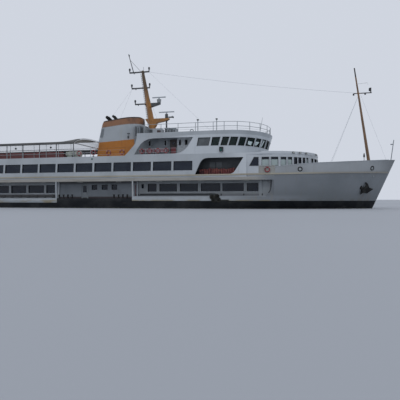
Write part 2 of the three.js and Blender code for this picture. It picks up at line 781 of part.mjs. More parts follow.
function wheelhouseWalls() {
  const rows = bridgeRows([
    Z.boatDeck + GAP, BRIDGE.sill - BRIDGE.edge, BRIDGE.head + BRIDGE.edge, Z.roofUnder - GAP,
  ]);
  const outside = raked(houseBody(rows, BRIDGE.aft - 2, X.bridgeArc, 0), BRIDGE.aft);
  const hollow = houseBody(stretched(rows, 0.1), BRIDGE.aft - 2, X.bridgeArc, WALL);
  const inside = raked(hollow, BRIDGE.aft + WALL);
  const cuts = BRIDGE_SIDE_WINDOWS.map(([aft, fore]) => sidePrism([
    [aft - 0.12, BRIDGE.sill],
    [fore - 0.12, BRIDGE.sill],
    [fore + 0.12, BRIDGE.head],
    [aft + 0.06, BRIDGE.head],
  ], -8, 8));
  const cut = (low, high) => {
    const prism = frontCut(X.bridgeArc, BRIDGE.fore, BRIDGE.half, low, high, BRIDGE.sill, BRIDGE.head);
    return raked(prism, BRIDGE.aft);
  };
  BRIDGE_FRONT_WINDOWS.forEach(([low, high]) => cuts.push(cut(low, high), cut(-high, -low)));
  cuts.push(cut(-5.5, 5.5));
  cuts.push(box(BRIDGE.aft - 1, BRIDGE.aft + 1, -3.6, -2.7, Z.boatDeck + 0.1, 8.2));
  return outside.subtract(inside).subtract(join(cuts));
}
piece('wheelhouse_walls', wheelhouseWalls(), 'white_paint');

const bridgePaneRows = bridgeRows([BRIDGE.sill - BRIDGE.edge, BRIDGE.head + BRIDGE.edge]);
const bridgePane = frontPane(bridgePaneRows, BRIDGE.aft - 1.5, X.bridgeArc);
piece('wheelhouse_glass', raked(bridgePane, BRIDGE.aft + WALL + 0.1), 'glass');

// Roof over the side screens, the house and the wheelhouse
const ROOF = { aft: 4.32, half: 6.2, tabHalf: 2.8, railInset: 0.25 };

function roofDeck() {
  const rows = bridgeRows([Z.roofUnder, Z.roof]);
  const body = raked(houseBody(rows, ROOF.aft - 2, X.bridgeArc, 0), ROOF.aft);
  const tab = box(X.casingFore + GAP, ROOF.aft + 0.5, -ROOF.tabHalf, ROOF.tabHalf, Z.roofUnder, Z.roof);
  return join([body, tab]);
}
piece('roof_deck', roofDeck(), 'white_paint');

// Engine casing and the funnel on it, with a pointed front in plan.
// Columns of the rows: height, aft end, nose, half breadth
const FUNNEL_HALF = 2.2;

function ogive(aft, nose, half) {
  const shoulder = aft + (nose - aft) * 0.55;
  const curve = [0.35, 0.65, 0.88].map((t) => [shoulder + (nose - shoulder) * t, half * (1 - t ** 2) ** 0.6]);
  const side = [[aft, half * 0.86], [aft + 0.3, half], [shoulder, half], ...curve];
  const starboard = side.map(([x, y]) => [x, -y]);
  return [...starboard, [nose, 0], ...side.slice().reverse()];
}

function funnelPart(rows) {
  return loft(rows.map(([z, aft, nose, half]) => ogive(aft, nose, half).map(([x, y]) => [x, y, z])));
}

// Height of the joint between casing and funnel, which rises forward
function jointZ(x) {
  return 8.734 + x * 0.0553;
}

function casing() {
  const low = Z.boatDeck + GAP;
  const outline = [
    [-2.98, low],
    [X.casingFore, low],
    [X.casingFore, jointZ(X.casingFore) - GAP],
    [-2.65, jointZ(-2.65) - GAP],
  ];
  return sidePrism(outline, -FUNNEL_HALF, FUNNEL_HALF);
}
piece('engine_casing', casing(), 'orange_paint');

const FUNNEL_ROWS = [
  [8.3, -2.98, 3.2, FUNNEL_HALF],
  [10.6, -2.42, 2.98, FUNNEL_HALF],
  [12.4, -1.98, 2.8, FUNNEL_HALF - 0.05],
];
const CROWN = { aft: -2.2, fore: 2.8, aftZ: 11.35, foreZ: 11.98 };

function crownZ(x) {
  return CROWN.aftZ + ((x - CROWN.aft) / (CROWN.fore - CROWN.aft)) * (CROWN.foreZ - CROWN.aftZ);
}

function funnel() {
  const raw = funnelPart(FUNNEL_ROWS);
  const crown = rounded([
    [-3.3, jointZ(-3.3), 0],
    [4, jointZ(4), 0],
    [2.98, 10.4, 0],
    [CROWN.fore, CROWN.foreZ, 0.3],
    [CROWN.aft, CROWN.aftZ, 0.5],
    [-2.5, 10.4, 0],
  ]);
  return raw.intersect(sidePrism(crown, -4, 4));
}
const bandPlane = [[-3, 10.42], [4, 11.15], [4, 13], [-3, 13]];
const bandPlaneLow = [[-3, 10.42 - GAP], [4, 11.15 - GAP], [4, 5], [-3, 5]];
piece('funnel', funnel().intersect(sidePrism(bandPlaneLow.slice().reverse(), -4, 4)), 'white_paint');
piece('funnel_band', funnel().intersect(sidePrism(bandPlane, -4, 4)), 'band_paint');

// Exhaust pipes that lean aft over the rear of the funnel, joined by their base plate
function exhausts() {
  const pipes = [];
  for (const y of [-1.5, -1.05, 1.05, 1.5]) {
    pipes.push(bar([-1.15, y, crownZ(-1.15) - 0.1], [-1.95, y, 12.1], 0.15, 8));
    pipes.push(bar([-0.35, y, crownZ(-0.35) - 0.1], [-0.95, y, 12.12], 0.11, 8));
  }
  const plate = sidePrism([
    [-1.55, crownZ(-1.55)],
    [0.7, crownZ(0.7)],
    [0.7, crownZ(0.7) + 0.06],
    [-1.55, crownZ(-1.55) + 0.06],
  ], -1.7, 1.7);
  const below = sidePrism([[-4, 5], [4, 5], [4, crownZ(4) + GAP], [-4, crownZ(-4) + GAP]], -4, 4);
  return join([...pipes, plate]).subtract(below);
}
piece('exhaust_pipes', exhausts(), 'dark_metal');

// Main mast: raked box mast with arms; its wing carries the pole of the lower scanner.
// Columns of the arms: height, aft end, fore end
const MAST = { baseX: 4.32, baseZ: Z.roof + GAP, topX: 2.62, topZ: 18.3, baseHalf: 0.5, topHalf: 0.17 };
const MAST_ARMS = [
  [18.15, 0.75, 3.58],
  [16.0, 1.06, 3.67],
  [13.85, 1.55, 3.6],
];
const SCANNER_UPPER = { x: 4.95, z: 14.62, length: 1.85, width: 0.16, post: 0.1 };
const SCANNER_LOWER = { x: 6.0, z: 12.62, length: 2.1, width: 0.16, post: 0.1 };

const LOCKER_TOP = 10.45;

function mastX(z) {
  return MAST.baseX + ((z - MAST.baseZ) / (MAST.topZ - MAST.baseZ)) * (MAST.topX - MAST.baseX);
}

function mainMast() {
  const trunk = bar([MAST.baseX, 0, MAST.baseZ], [MAST.topX, 0, MAST.topZ], MAST.baseHalf, 8, MAST.topHalf);
  const ground = box(-10, 10, -5, 5, MAST.baseZ - 2, MAST.baseZ);
  const arms = MAST_ARMS.map(([z, aft, fore]) => box(aft, fore, -0.07, 0.07, z - 0.08, z + 0.08));
  const lamps = MAST_ARMS.flatMap(([z, aft, fore]) => [
    bar([aft + 0.07, 0, z], [aft - 0.05, 0, z + 0.5], 0.08, 6),
    bar([fore - 0.08, 0, z], [fore, 0, z + 0.4], 0.07, 6),
  ]);
  const platform = sidePrism([
    [mastX(13.3), 13.3],
    [3.93, 13.4],
    [5.08, 13.72],
    [5.08, 13.88],
    [mastX(13.9), 13.88],
  ], -0.3, 0.3);
  const wing = sidePrism([
    [3.75, 10.8],
    [4.46, 10.71],
    [4.7, 11.23],
    [6.09, 11.47],
    [6.37, 11.66],
    [6.37, 11.78],
    [3.12, 11.78],
    [3.12, 11.7],
  ], -0.28, 0.28);
  const [upper, lower] = [SCANNER_UPPER, SCANNER_LOWER].map(({ x, z }) => [x, 0, z - 0.28]);
  const pedestal = bar([SCANNER_UPPER.x, 0, 13.8], upper, 0.22, 10, 0.3);
  const pole = bar([SCANNER_LOWER.x, 0, LOCKER_TOP + GAP], lower, 0.11, 8);
  const poleHead = bar([SCANNER_LOWER.x, 0, SCANNER_LOWER.z - 0.8], lower, 0.2, 10);
  const topPole = bar([1.35, 0, 18.1], [0.6, 0, 20.7], 0.07, 6, 0.045);
  const topStay = bar([2.4, 0, 18.2], [0.83, 0, 19.9], 0.025, 4);
  const foot = box(3.83, 5.5, -0.5, 0.5, MAST.baseZ, 10.37);
  const parts = [trunk, foot, ...arms, ...lamps, platform, wing, pedestal, pole, poleHead, topPole, topStay];
  return join(parts).subtract(ground);
}
piece('main_mast', mainMast(), 'orange_paint');

// Radar scanner: bar antenna on a spindle that stands on its pedestal
function scanner({ x, z, length, width, post }) {
  const antenna = box(x - length / 2, x + length / 2, -width / 2, width / 2, z - 0.06, z + 0.06);
  return join([antenna, bar([x, 0, z - 0.28 + GAP], [x, 0, z], post, 10)]);
}
piece('scanner_upper', scanner(SCANNER_UPPER), 'white_paint');
piece('scanner_lower', scanner(SCANNER_LOWER), 'white_paint');

// Lockers on the roof. Columns: aft, fore, starboard edge, port edge, top
const ROOF_LOCKERS = [
  [5.9, 6.6, -0.5, 0.5, LOCKER_TOP],
  [6.72, 7.41, -0.6, 0.6, LOCKER_TOP - 0.06],
];
function roofLockers() {
  const low = Z.roof + GAP;
  const blocks = ROOF_LOCKERS.map(([aft, fore, right, left, top]) => box(aft, fore, right, left, low, top));
  return join([...blocks, box(6.5, 6.8, -0.4, 0.4, low, LOCKER_TOP - 0.2)]);
}
piece('roof_lockers', roofLockers(), 'grey_paint');

// Rails: posts on a path, with bars from post to post. Columns of a path point: along, across
function railing(path, foot, height, radius, levels) {
  const bars = [];
  path.forEach(([x, y], i) => {
    bars.push(bar([x, y, foot], [x, y, foot + height], radius, 4));
    if (i === 0) return;
    const [px, py] = path[i - 1];
    levels.forEach((share) => {
      bars.push(bar([px, py, foot + height * share], [x, y, foot + height * share], radius * 0.8, 4));
    });
  });
  return join(bars);
}

function roofRailPath() {
  const points = [];
  const side = ROOF.half - ROOF.railInset;
  const arcX = X.bridgeArc + rakeAt(Z.roof);
  const reach = BRIDGE.fore - X.bridgeArc - ROOF.railInset;
  for (let x = 5.2; x < arcX - 1; x += 2.1) points.push([x, -side]);
  const steps = 10;
  for (let i = 0; i <= steps; i += 1) {
    const angle = -Math.PI / 2 + (Math.PI * i) / steps;
    points.push([arcX + reach * Math.cos(angle), side * Math.sin(angle)]);
  }
  const back = points.filter(([x, y]) => y < -0.01 && x < arcX - 0.01).reverse();
  return [...points, ...back.map(([x, y]) => [x, -y])];
}

// Lamp poles on the rail. Columns: along, top
const ROOF_POLES = [[11.79, 10.22], [14.01, 10.27]];

function roofRail() {
  const foot = Z.roof + GAP;
  const side = ROOF.half - ROOF.railInset;
  const poles = ROOF_POLES.flatMap(([x, top]) => {
    return [-side, side].map((y) => bar([x, y, foot], [x, y, top], 0.05, 6));
  });
  return join([railing(roofRailPath(), foot, 1.0, 0.035, [0.5, 1]), ...poles]);
}
piece('roof_rail', roofRail(), 'white_paint');

// Rail round the open after end of the upper deck
function sternRailPath(z, inset, foreX) {
  const xs = [foreX, foreX - 2, foreX - 4, -29.5, -31, -32.2, -33.1, -33.6];
  const starboard = xs.map((x) => [x, -halfAt(x, z, inset)]);
  return [...starboard, ...starboard.slice().reverse().map(([x, y]) => [x, -y])];
}
const UPPER_RAIL_INSET = 0.2;
function upperAftRail() {
  const rail = railing(
    sternRailPath(Z.upperDeck, UPPER_RAIL_INSET, X.upperSaloonAft - 0.2),
    Z.upperDeck + GAP, 1.05, 0.04, [0.5, 1],
  );
  const pillars = [-27.6].flatMap((x) => [-1, 1].map((side) => {
    const y = side * halfAt(x, Z.upperDeck, 0.35);
    return bar([x, y, Z.upperDeck + GAP], [x, y, Z.boatDeckUnder - GAP], 0.09, 8);
  }));
  const links = [-27.6].flatMap((x) => [-1, 1].map((side) => {
    const y = side * halfAt(x, Z.upperDeck, 0.35);
    const z = Z.upperDeck + 1.05;
    return bar([x, y, z], [x, y + side * 0.15, z], 0.03, 4);
  }));
  return join([rail, ...pillars, ...links, ensignStaff()]);
}

// Ensign staff, raked aft from the middle of the stern rail
function ensignStaff() {
  const foot = Z.upperDeck + GAP;
  return bar([-33.35, 0, foot - 0.2], [-33.95, 0, 6.6], 0.06, 8).subtract(box(-36, -30, -1, 1, 0, foot));
}
piece('upper_aft_rail', upperAftRail(), 'white_paint');

// Canopy over the after boat deck: a nearly flat sheet on posts, arched up at its fore end
const CANOPY = { aft: -26.2, fore: -4.1, half: 6.0, eave: 8.05, fascia: 0.22, ridge: 8.64, thick: 0.1 };
const CANOPY_ARCH = [-1, -0.96, -0.88, -0.76, -0.58, -0.34, 0, 0.34, 0.58, 0.76, 0.88, 0.96, 1];
const CANOPY_SQUARE = 3.5;

// Columns of the stations: along, height of the ridge
const CANOPY_STATIONS = [
  [CANOPY.aft, CANOPY.ridge],
  [-6.9, CANOPY.ridge],
  [-6.0, 8.74],
  [-5.2, 8.97],
  [-4.6, 9.13],
  [CANOPY.fore, 9.15],
];

function canopyZ(share, ridge) {
  const shoulder = CANOPY.eave + CANOPY.fascia;
  return shoulder + (ridge - shoulder) * (1 - Math.abs(share) ** CANOPY_SQUARE);
}

function canopyUnder(ridge) {
  return CANOPY_ARCH.map((share) => [share * (CANOPY.half - 0.06), canopyZ(share, ridge) - CANOPY.thick]);
}

// Height of the canopy's underside at a place across the ship, near its edge
function canopyUnderAt(y) {
  const [[outY, outZ], [inY, inZ]] = canopyUnder(CANOPY.ridge);
  return outZ + ((y - outY) / (inY - outY)) * (inZ - outZ);
}

function canopyOutline(ridge) {
  const top = CANOPY_ARCH.map((share) => [share * CANOPY.half, canopyZ(share, ridge)]);
  return [
    [-CANOPY.half, CANOPY.eave],
    [-CANOPY.half + 0.06, CANOPY.eave],
    ...canopyUnder(ridge),
    [CANOPY.half - 0.06, CANOPY.eave],
    [CANOPY.half, CANOPY.eave],
    ...top.reverse(),
  ];
}

// The stations are lofted upward and then laid down along the ship
function canopy() {
  const upright = loft(CANOPY_STATIONS.map(([x, ridge]) => canopyOutline(ridge).map(([y, z]) => [y, z, x])));
  return upright.transform([0, 1, 0, 0, 0, 0, 1, 0, 1, 0, 0, 0, 0, 0, 0, 1]);
}
piece('canopy', canopy(), 'canopy_cloth');

// Rail of the boat deck, carried by the canopy's posts and closing the after end
function boatAftRail() {
  const half = halfAt(X.boatDeckAft, Z.boatDeck, 0.45);
  const side = 5.8;
  const path = [
    [2.7, -side - 0.15],
    [0.4, -side - 0.1],
    [-1.9, -side - 0.05],
    [CANOPY.fore - 0.2, -side],
    [-25.2, -side],
    [X.boatDeckAft + 0.2, -half],
    [X.boatDeckAft + 0.2, -half / 2],
    [X.boatDeckAft + 0.2, 0],
    [X.boatDeckAft + 0.2, half / 2],
    [X.boatDeckAft + 0.2, half],
    [-25.2, side],
    [CANOPY.fore - 0.2, side],
    [-1.9, side + 0.05],
    [0.4, side + 0.1],
    [2.7, side + 0.15],
  ];
  return railing(path, Z.boatDeck + GAP, 1.05, 0.04, [0.5, 1]);
}

const CANOPY_BAYS = 9;
const BEAM = { half: 0.05, deep: 0.1 };
const POST_RADIUS = 0.06;

function canopyFrame() {
  const postY = CANOPY.half - 0.2;
  const pitch = (CANOPY.fore - CANOPY.aft - 0.4) / CANOPY_BAYS;
  const frames = [];
  const beamTop = canopyUnderAt(-postY - POST_RADIUS) - GAP;
  const beamLow = beamTop - BEAM.deep;
  for (let i = 0; i <= CANOPY_BAYS; i += 1) {
    const x = CANOPY.fore - 0.2 - i * pitch;
    for (const y of [-postY, postY]) {
      frames.push(bar([x, y, Z.boatDeck + GAP], [x, y, beamTop], POST_RADIUS, 4));
    }
  }
  for (const y of [-postY, postY]) {
    frames.push(box(CANOPY.aft + 0.1, CANOPY.fore - 0.1, y - BEAM.half, y + BEAM.half, beamLow, beamTop));
  }
  for (const x of [CANOPY.aft + 0.2, CANOPY.fore - 0.2]) {
    frames.push(box(x - 0.04, x + 0.04, -postY, postY, beamLow, beamTop));
  }
  return join([...frames, boatAftRail()]);
}
piece('canopy_frame', canopyFrame(), 'grey_paint');

// Benches along the sides of the boat deck, backs outboard, and two double rows in the middle
const BENCH = { aft: -25, fore: -5.75, backTop: 0.74, seatHigh: 0.42 };

function sideBench() {
  const out = 5.66;
  const low = Z.boatDeck + GAP;
  const back = box(BENCH.aft, BENCH.fore, -out, -out + 0.08, low, low + BENCH.backTop);
  const seatTop = low + BENCH.seatHigh;
  const seat = box(BENCH.aft, BENCH.fore, -out, -out + 0.5, seatTop - 0.05, seatTop);
  const legs = [];
  for (let x = BENCH.aft + 0.2; x < BENCH.fore; x += 3.2) {
    legs.push(box(x, x + 0.08, -out, -out + 0.45, low, low + BENCH.seatHigh));
  }
  return join([back, seat, ...legs]);
}
pair('side_bench', sideBench(), 'bench_wood');

function middleBenches() {
  const low = Z.boatDeck + GAP;
  const rows = [-2.6, 2.6].flatMap((y) => [
    box(-24, -6, y - 0.04, y + 0.04, low, low + 0.85),
    box(-24, -6, y - 0.5, y + 0.5, low + BENCH.seatHigh - 0.05, low + BENCH.seatHigh),
  ]);
  return join([...rows, box(-15.2, -15, -2.6, 2.6, low, low + 0.06)]);
}
piece('middle_benches', middleBenches(), 'bench_wood');

// Life-raft canisters in their cradles
function rafts() {
  const low = Z.boatDeck + GAP;
  const canisters = [-5.07, -4.05].map((x) => {
    return bar([x - 0.48, -5.2, low + 0.5], [x + 0.48, -5.2, low + 0.5], 0.35, 10);
  });
  const cradle = box(-5.55, -3.57, -5.4, -5.0, low, low + 0.4);
  return join([...canisters, cradle]);
}
pair('life_rafts', rafts(), 'raft_shell');

// Foremast with its crosstree, stays down to the foredeck, and the staffs at both ends
const FOREMAST = { footX: 31.4, topX: 29.5, topZ: 16.7, footRadius: 0.2, topRadius: 0.07, armZ: 13.66 };

function foremast() {
  const foot = [FOREMAST.footX, 0, Z.upperDeck + GAP];
  const pole = bar(foot, [FOREMAST.topX, 0, FOREMAST.topZ], FOREMAST.footRadius, 10, FOREMAST.topRadius);
  const share = (FOREMAST.armZ - Z.upperDeck) / (FOREMAST.topZ - Z.upperDeck);
  const armX = FOREMAST.footX + share * (FOREMAST.topX - FOREMAST.footX);
  const arm = box(armX - 0.5, armX + 1.5, -0.04, 0.04, FOREMAST.armZ - 0.05, FOREMAST.armZ + 0.05);
  const lamp = bar([armX + 1.4, 0, FOREMAST.armZ], [armX + 1.4, 0, FOREMAST.armZ + 0.6], 0.07, 6);
  const ground = box(25, 36, -5, 5, 0, Z.upperDeck + GAP);
  return join([pole, arm, lamp]).subtract(ground);
}
piece('foremast', foremast(), 'orange_paint');

function jackstaff() {
  const low = 5.3 + GAP;
  return join([
    bar([33.5, 0, low], [33.86, 0, 8.0], 0.045, 8).subtract(box(30, 40, -1, 1, 0, low)),
    bar([33.82, 0, 7.49], [33.5, 0, 7.49], 0.06, 6),
  ]);
}
piece('jackstaff', jackstaff(), 'grey_paint');

// Windlass and two pairs of bollards on one bed plate on the foredeck
function mooringGear() {
  const low = Z.upperDeck + GAP;
  const bollards = [-2.4, 2.4].flatMap((y) => [
    bar([26.6, y, low], [26.6, y, low + 0.6], 0.14, 10),
    bar([27.2, y, low], [27.2, y, low + 0.6], 0.14, 10),
  ]);
  return join([
    box(26.3, 27.5, -2.7, 2.7, low, low + 0.06),
    box(27.4, 29.4, -0.9, 0.9, low, low + 0.06),
    box(28.4, 29.4, -0.9, 0.9, low, low + 0.25),
    bar([28.9, -1.4, low + 0.55], [28.9, 1.4, low + 0.55], 0.3, 12),
    box(28.6, 29.2, -0.25, 0.25, low, low + 0.95),
    ...bollards,
  ]);
}
piece('mooring_gear', mooringGear(), 'dark_metal');

// Stockless anchors, housed against the bow's sides
const ANCHOR = { x: 30.6, z: 2.25 };

function anchor() {
  const outline = [
    [-0.75, 0.05],
    [-0.55, -0.15],
    [-0.62, -0.62],
    [-0.35, -0.42],
    [0.1, -0.5],
    [0.85, 0.0],
    [0.35, 0.15],
    [0.15, 0.6],
    [-0.05, 0.75],
    [-0.15, 0.25],
    [-0.35, 0.12],
    [-0.75, 0.62],
  ];
  const halfHere = halfAt(ANCHOR.x, ANCHOR.z);
  const raw = sidePrism(outline.map(([a, b]) => [ANCHOR.x + a, ANCHOR.z + b]), -halfHere - 0.55, 0);
  const side = slab([Z.blackTop + GAP, Z.upperDeck], -GAP);
  return raw.intersect(slab([Z.blackTop, Z.upperDeck], -0.16)).subtract(side);
}
pair('anchor', anchor(), 'dark_metal');

export default ship;
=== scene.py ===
import random
from math import cos, pi, radians, sin

import bmesh
import bpy
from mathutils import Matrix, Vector


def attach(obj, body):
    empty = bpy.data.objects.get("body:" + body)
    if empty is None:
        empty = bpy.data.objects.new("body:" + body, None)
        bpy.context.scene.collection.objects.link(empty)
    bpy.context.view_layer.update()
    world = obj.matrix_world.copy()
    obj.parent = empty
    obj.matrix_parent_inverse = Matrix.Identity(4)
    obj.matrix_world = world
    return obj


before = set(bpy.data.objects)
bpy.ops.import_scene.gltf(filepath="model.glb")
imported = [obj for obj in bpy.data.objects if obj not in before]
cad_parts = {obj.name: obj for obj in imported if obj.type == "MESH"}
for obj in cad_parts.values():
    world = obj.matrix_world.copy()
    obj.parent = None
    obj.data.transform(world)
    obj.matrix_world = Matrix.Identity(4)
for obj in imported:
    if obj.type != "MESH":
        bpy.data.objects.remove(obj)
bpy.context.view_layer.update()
scene = bpy.context.scene

# Places below are in metres of the full-size ship, and pieces are made at half that size
K = 0.5
UP = Vector((0, 0, 1))
STARBOARD = Vector((0, -1, 0))
SIDES = (("starboard", -1), ("port", 1))

# Camera at the photograph's place: level, close to the water, ahead of the starboard beam
camera_data = bpy.data.cameras.new("camera")
camera_data.sensor_width = 36
camera_data.lens = 38.7
camera_data.shift_y = -0.00125
camera_data.clip_end = 3000
camera = bpy.data.objects.new("camera", camera_data)
camera.location = (12.03, -27.07, 0.525)
camera.rotation_euler = (radians(90), 0, radians(14))
scene.collection.objects.link(camera)
scene.camera = camera

# Form of the ship, level by level: height, half breadth, stern end, start of the stern run,
# start of the bow taper, stem, fullness of the bow, fullness and roundness of the stern
LEVELS = [
    (-2.6, 3.6, -15, -5, -2, 28.2, 1.5, 1.6, 1),
    (-2.3, 5.3, -18, -8, 0, 29.9, 1.55, 1.6, 1),
    (-1.7, 6.1, -22, -12, 2, 30.6, 1.6, 1.7, 1.05),
    (-0.55, 6.4, -28, -17, 4, 31.25, 1.75, 2, 1.3),
    (0, 6.46, -32.4, -20, 8, 31.5, 2, 2.3, 1.6),
    (0.9, 6.5, -33.7, -23, 12, 31.9, 2.4, 2.6, 1.9),
    (3.83, 6.6, -34, -25, 13, 33.2, 2.7, 2.6, 2.1),
    (5.67, 6.44, -34, -25, 13, 34, 2.8, 2.6, 2.1),
    (8.95, 6.155, -34, -25, 13, 35.4, 2.9, 2.6, 2.1),
]
STERN_STEPS = [1, 0.985, 0.94, 0.86, 0.72, 0.5, 0.25, 0]
BOW_STEPS = [0, 0.2, 0.36, 0.5, 0.62, 0.74, 0.85, 0.94, 1]
BOW_ROUND = 1.15
MAIN_DECK = 0.99
UPPER_DECK = 3.6
BOAT_DECK = 6.3
ROOF = 8.95
BOW_TOP = [(20.5, 4.66), (21.07, 4.68), (21.7, 4.8), (22.5, 4.87), (23.4, 4.97), (25.2, 5.1), (26.5, 5.16),
           (29.8, 5.35), (34, 5.67)]


def along(line, x):
    """Height of a line of (x, height) points at a place, and 0 beyond its ends."""
    for (x0, z0), (x1, z1) in zip(line, line[1:]):
        if x0 <= x <= x1:
            return z0 + (z1 - z0) * (x - x0) / max(1e-9, x1 - x0)
    return 0


def bow_top(x):
    return along(BOW_TOP, x)


def level_at(z):
    i = 1
    while i < len(LEVELS) - 1 and LEVELS[i][0] < z:
        i += 1
    low, high = LEVELS[i - 1], LEVELS[i]
    share = (z - low[0]) / (high[0] - low[0])
    return [a + (b - a) * share for a, b in zip(low, high)]


def side_y(x, z):
    """Half breadth of the ship at a place and height."""
    _, half, stern, run, taper, stem, bow_full, aft_full, aft_round = level_at(z)
    line = [(run + (stern - run) * t, half * (1 - t ** aft_full) ** (1 / aft_round)) for t in STERN_STEPS]
    line += [(taper + (stem - taper) * t, half * (1 - t ** bow_full) ** (1 / BOW_ROUND)) for t in BOW_STEPS]
    return along(line, x)


def skin(x, z, inward=0):
    """Point on the starboard side at a place and height, moved inward as told."""
    return Vector((x, inward - side_y(x, z), z))


def side_out(x, z):
    """Direction that leads out of the starboard side at a place and height."""
    ahead = (side_y(x + 0.4, z) - side_y(x - 0.4, z)) / 0.8
    up = (side_y(x, z + 0.2) - side_y(x, z - 0.2)) / 0.4
    return Vector((-ahead, -1, -up)).normalized()


# Finishes by name
M = {}


class Finish:
    """A procedural finish on a Principled shader, laid out in metres of the model."""

    def __init__(self, name, shine=0.5, coat=0):
        self.material = M[name] = bpy.data.materials.new(name)
        self.material.use_nodes = True
        self.tree = self.material.node_tree
        self.shader = self.tree.nodes["Principled BSDF"]
        self.link(shine, self.shader.inputs["Specular IOR Level"])
        self.link(coat, self.shader.inputs["Coat Weight"])
        self.place = self.node("TexCoord", "Object")

    def link(self, value, socket):
        if isinstance(value, bpy.types.NodeSocket):
            self.tree.links.new(value, socket)
        else:
            socket.default_value = value

    def node(self, kind, result, *given, **settings):
        """Output of a new node; given are its inputs as (name or number, value or socket)."""
        node = self.tree.nodes.new("ShaderNode" + kind)
        for name, value in settings.items():
            setattr(node, name, value)
        for name, value in given:
            self.link(value, node.inputs[name])
        return node.outputs[result]

    def noise(self, scale, detail=3, stretch=(1, 1, 1), shift=0):
        scales, moved = [scale * s for s in stretch], (shift, shift * 0.7, shift * 1.3)
        place = self.node("Mapping", "Vector", ("Vector", self.place), ("Scale", scales), ("Location", moved))
        return self.node("TexNoise", "Fac", ("Vector", place), ("Scale", 1), ("Detail", detail))

    def axes(self):
        return [self.node("SeparateXYZ", letter, ("Vector", self.place)) for letter in "XYZ"]

    def ramp(self, value, low, high, to_low=0, to_high=1):
        names = ("Value", "From Min", "From Max", "To Min", "To Max")
        given = zip(names, (value, low, high, to_low, to_high))
        return self.node("MapRange", "Result", *given, interpolation_type="SMOOTHSTEP")

    def math(self, operation, a, b=0):
        return self.node("Math", "Value", (0, a), (1, b), operation=operation)

    def times(self, first, *others):
        for other in others:
            first = self.math("MULTIPLY", first, other)
        return first

    def plus(self, a, b):
        return self.math("ADD", a, b)

    def minus(self, a, b):
        return self.math("SUBTRACT", a, b)

    def most(self, a, b):
        return self.math("MAXIMUM", a, b)

    def off(self, a, b):
        return self.math("ABSOLUTE", self.minus(a, b))

    def zone(self, *spans):
        """1 where every span (value, from, to) has passed its end, 0 before any of them starts."""
        return self.times(*(self.ramp(*span) for span in spans))

    def band(self, value, centre, outer, inner):
        """1 within the inner distance of a centre, 0 beyond the outer one."""
        return self.ramp(self.off(value, centre), outer, inner)

    def spread(self, scale, detail=4, low=0.4, high=0.7, stretch=(1, 1, 1), shift=0):
        """Patches of noise, sharpened between two of its values."""
        return self.ramp(self.noise(scale, detail, stretch, shift), low, high)

    def mix(self, a, b, factor):
        a, b = (c if isinstance(c, bpy.types.NodeSocket) else (*c, 1) for c in (a, b))
        return self.node("Mix", 2, (0, factor), (6, a), (7, b), data_type="RGBA")

    def patches(self, a, b, *spread):
        return self.mix(a, b, self.spread(*spread))

    def seams(self, axis, pitch, width, shift=0):
        """1 on thin lines across an axis, each as wide as told, and 0 between them."""
        cell = self.math("PINGPONG", self.plus(self.axes()["XYZ".index(axis)], shift), pitch / 2)
        return self.ramp(cell, width, width * 0.4)

    def done(self, base, low, high, *heights, grain=5):
        """Colour, span of roughness, and bumps, each (value, metres) or (noise scale, detail, metres)."""
        self.link(base, self.shader.inputs["Base Color"])
        self.link(self.ramp(self.noise(grain), 0.35, 0.7, low, high), self.shader.inputs["Roughness"])
        under = []
        for *value, metres in heights:
            height = value[0] if len(value) == 1 else self.noise(*value)
            given = (("Strength", 1), ("Distance", metres), ("Height", height), *under)
            under = [("Normal", self.node("Bump", "Normal", *given))]
        self.link(under[0][1], self.shader.inputs["Normal"])


def paint(name, colour, shade, rough=0.45, streak=None, streaks=0.35, plates=False, fore=None, foot=None):
    """Ship's paint: patchy colour, faint runs down the plates, and the wave of welded plating.

    Fore is another colour with the span of x over which it comes in: painted light on the white, painted
    shade on the strake. Foot is a colour of painted shade below the strake."""
    f = Finish(name)
    base = f.patches(colour, shade, 0.7, 5, 0.38, 0.72)
    x, _, z = f.axes()
    # Fore colour: painted light on the white, painted shade on the strake
    if fore:
        base = f.mix(base, fore[0], f.ramp(x, *fore[1:]))
    # Foot colour: painted shade below the strake at the fore end
    if foot:
        base = f.mix(base, foot, f.zone((z, 1.93, 1.92), (x, 8.7, 9.9)))
    if streak:
        runs = f.spread(1, 4, 0.58, 0.78, (5, 5, 0.35))
        patch = f.spread(0.45, 2, 0.42, 0.62, shift=7)
        base = f.mix(base, streak, f.times(runs, patch, streaks))
    heights = [(f.noise(1.6, 2, shift=3), 0.006), (45, 2, 0.0006)]
    if plates:
        lines = f.most(f.seams("X", 1.25, 0.006), f.seams("Z", 1.3, 0.005))
        base = f.mix(base, [c * 0.8 for c in shade], f.times(lines, 0.35))
        heights.append((lines, 0.0015))
    f.done(base, rough - 0.08, rough + 0.12, *heights)


def spots(name, scale, rough, *colours, bump=0.002, shine=0.5):
    """Mottled finish that turns from one colour to the next in patches."""
    f = Finish(name, shine)
    base = colours[0]
    for i, colour in enumerate(colours[1:]):
        base = f.patches(base, colour, scale * (1 + 0.4 * i), 4, 0.45, 0.6, (1, 1, 1), 5 * i)
    f.done(base, rough - 0.1, rough + 0.15, (scale * 6, 3, bump))


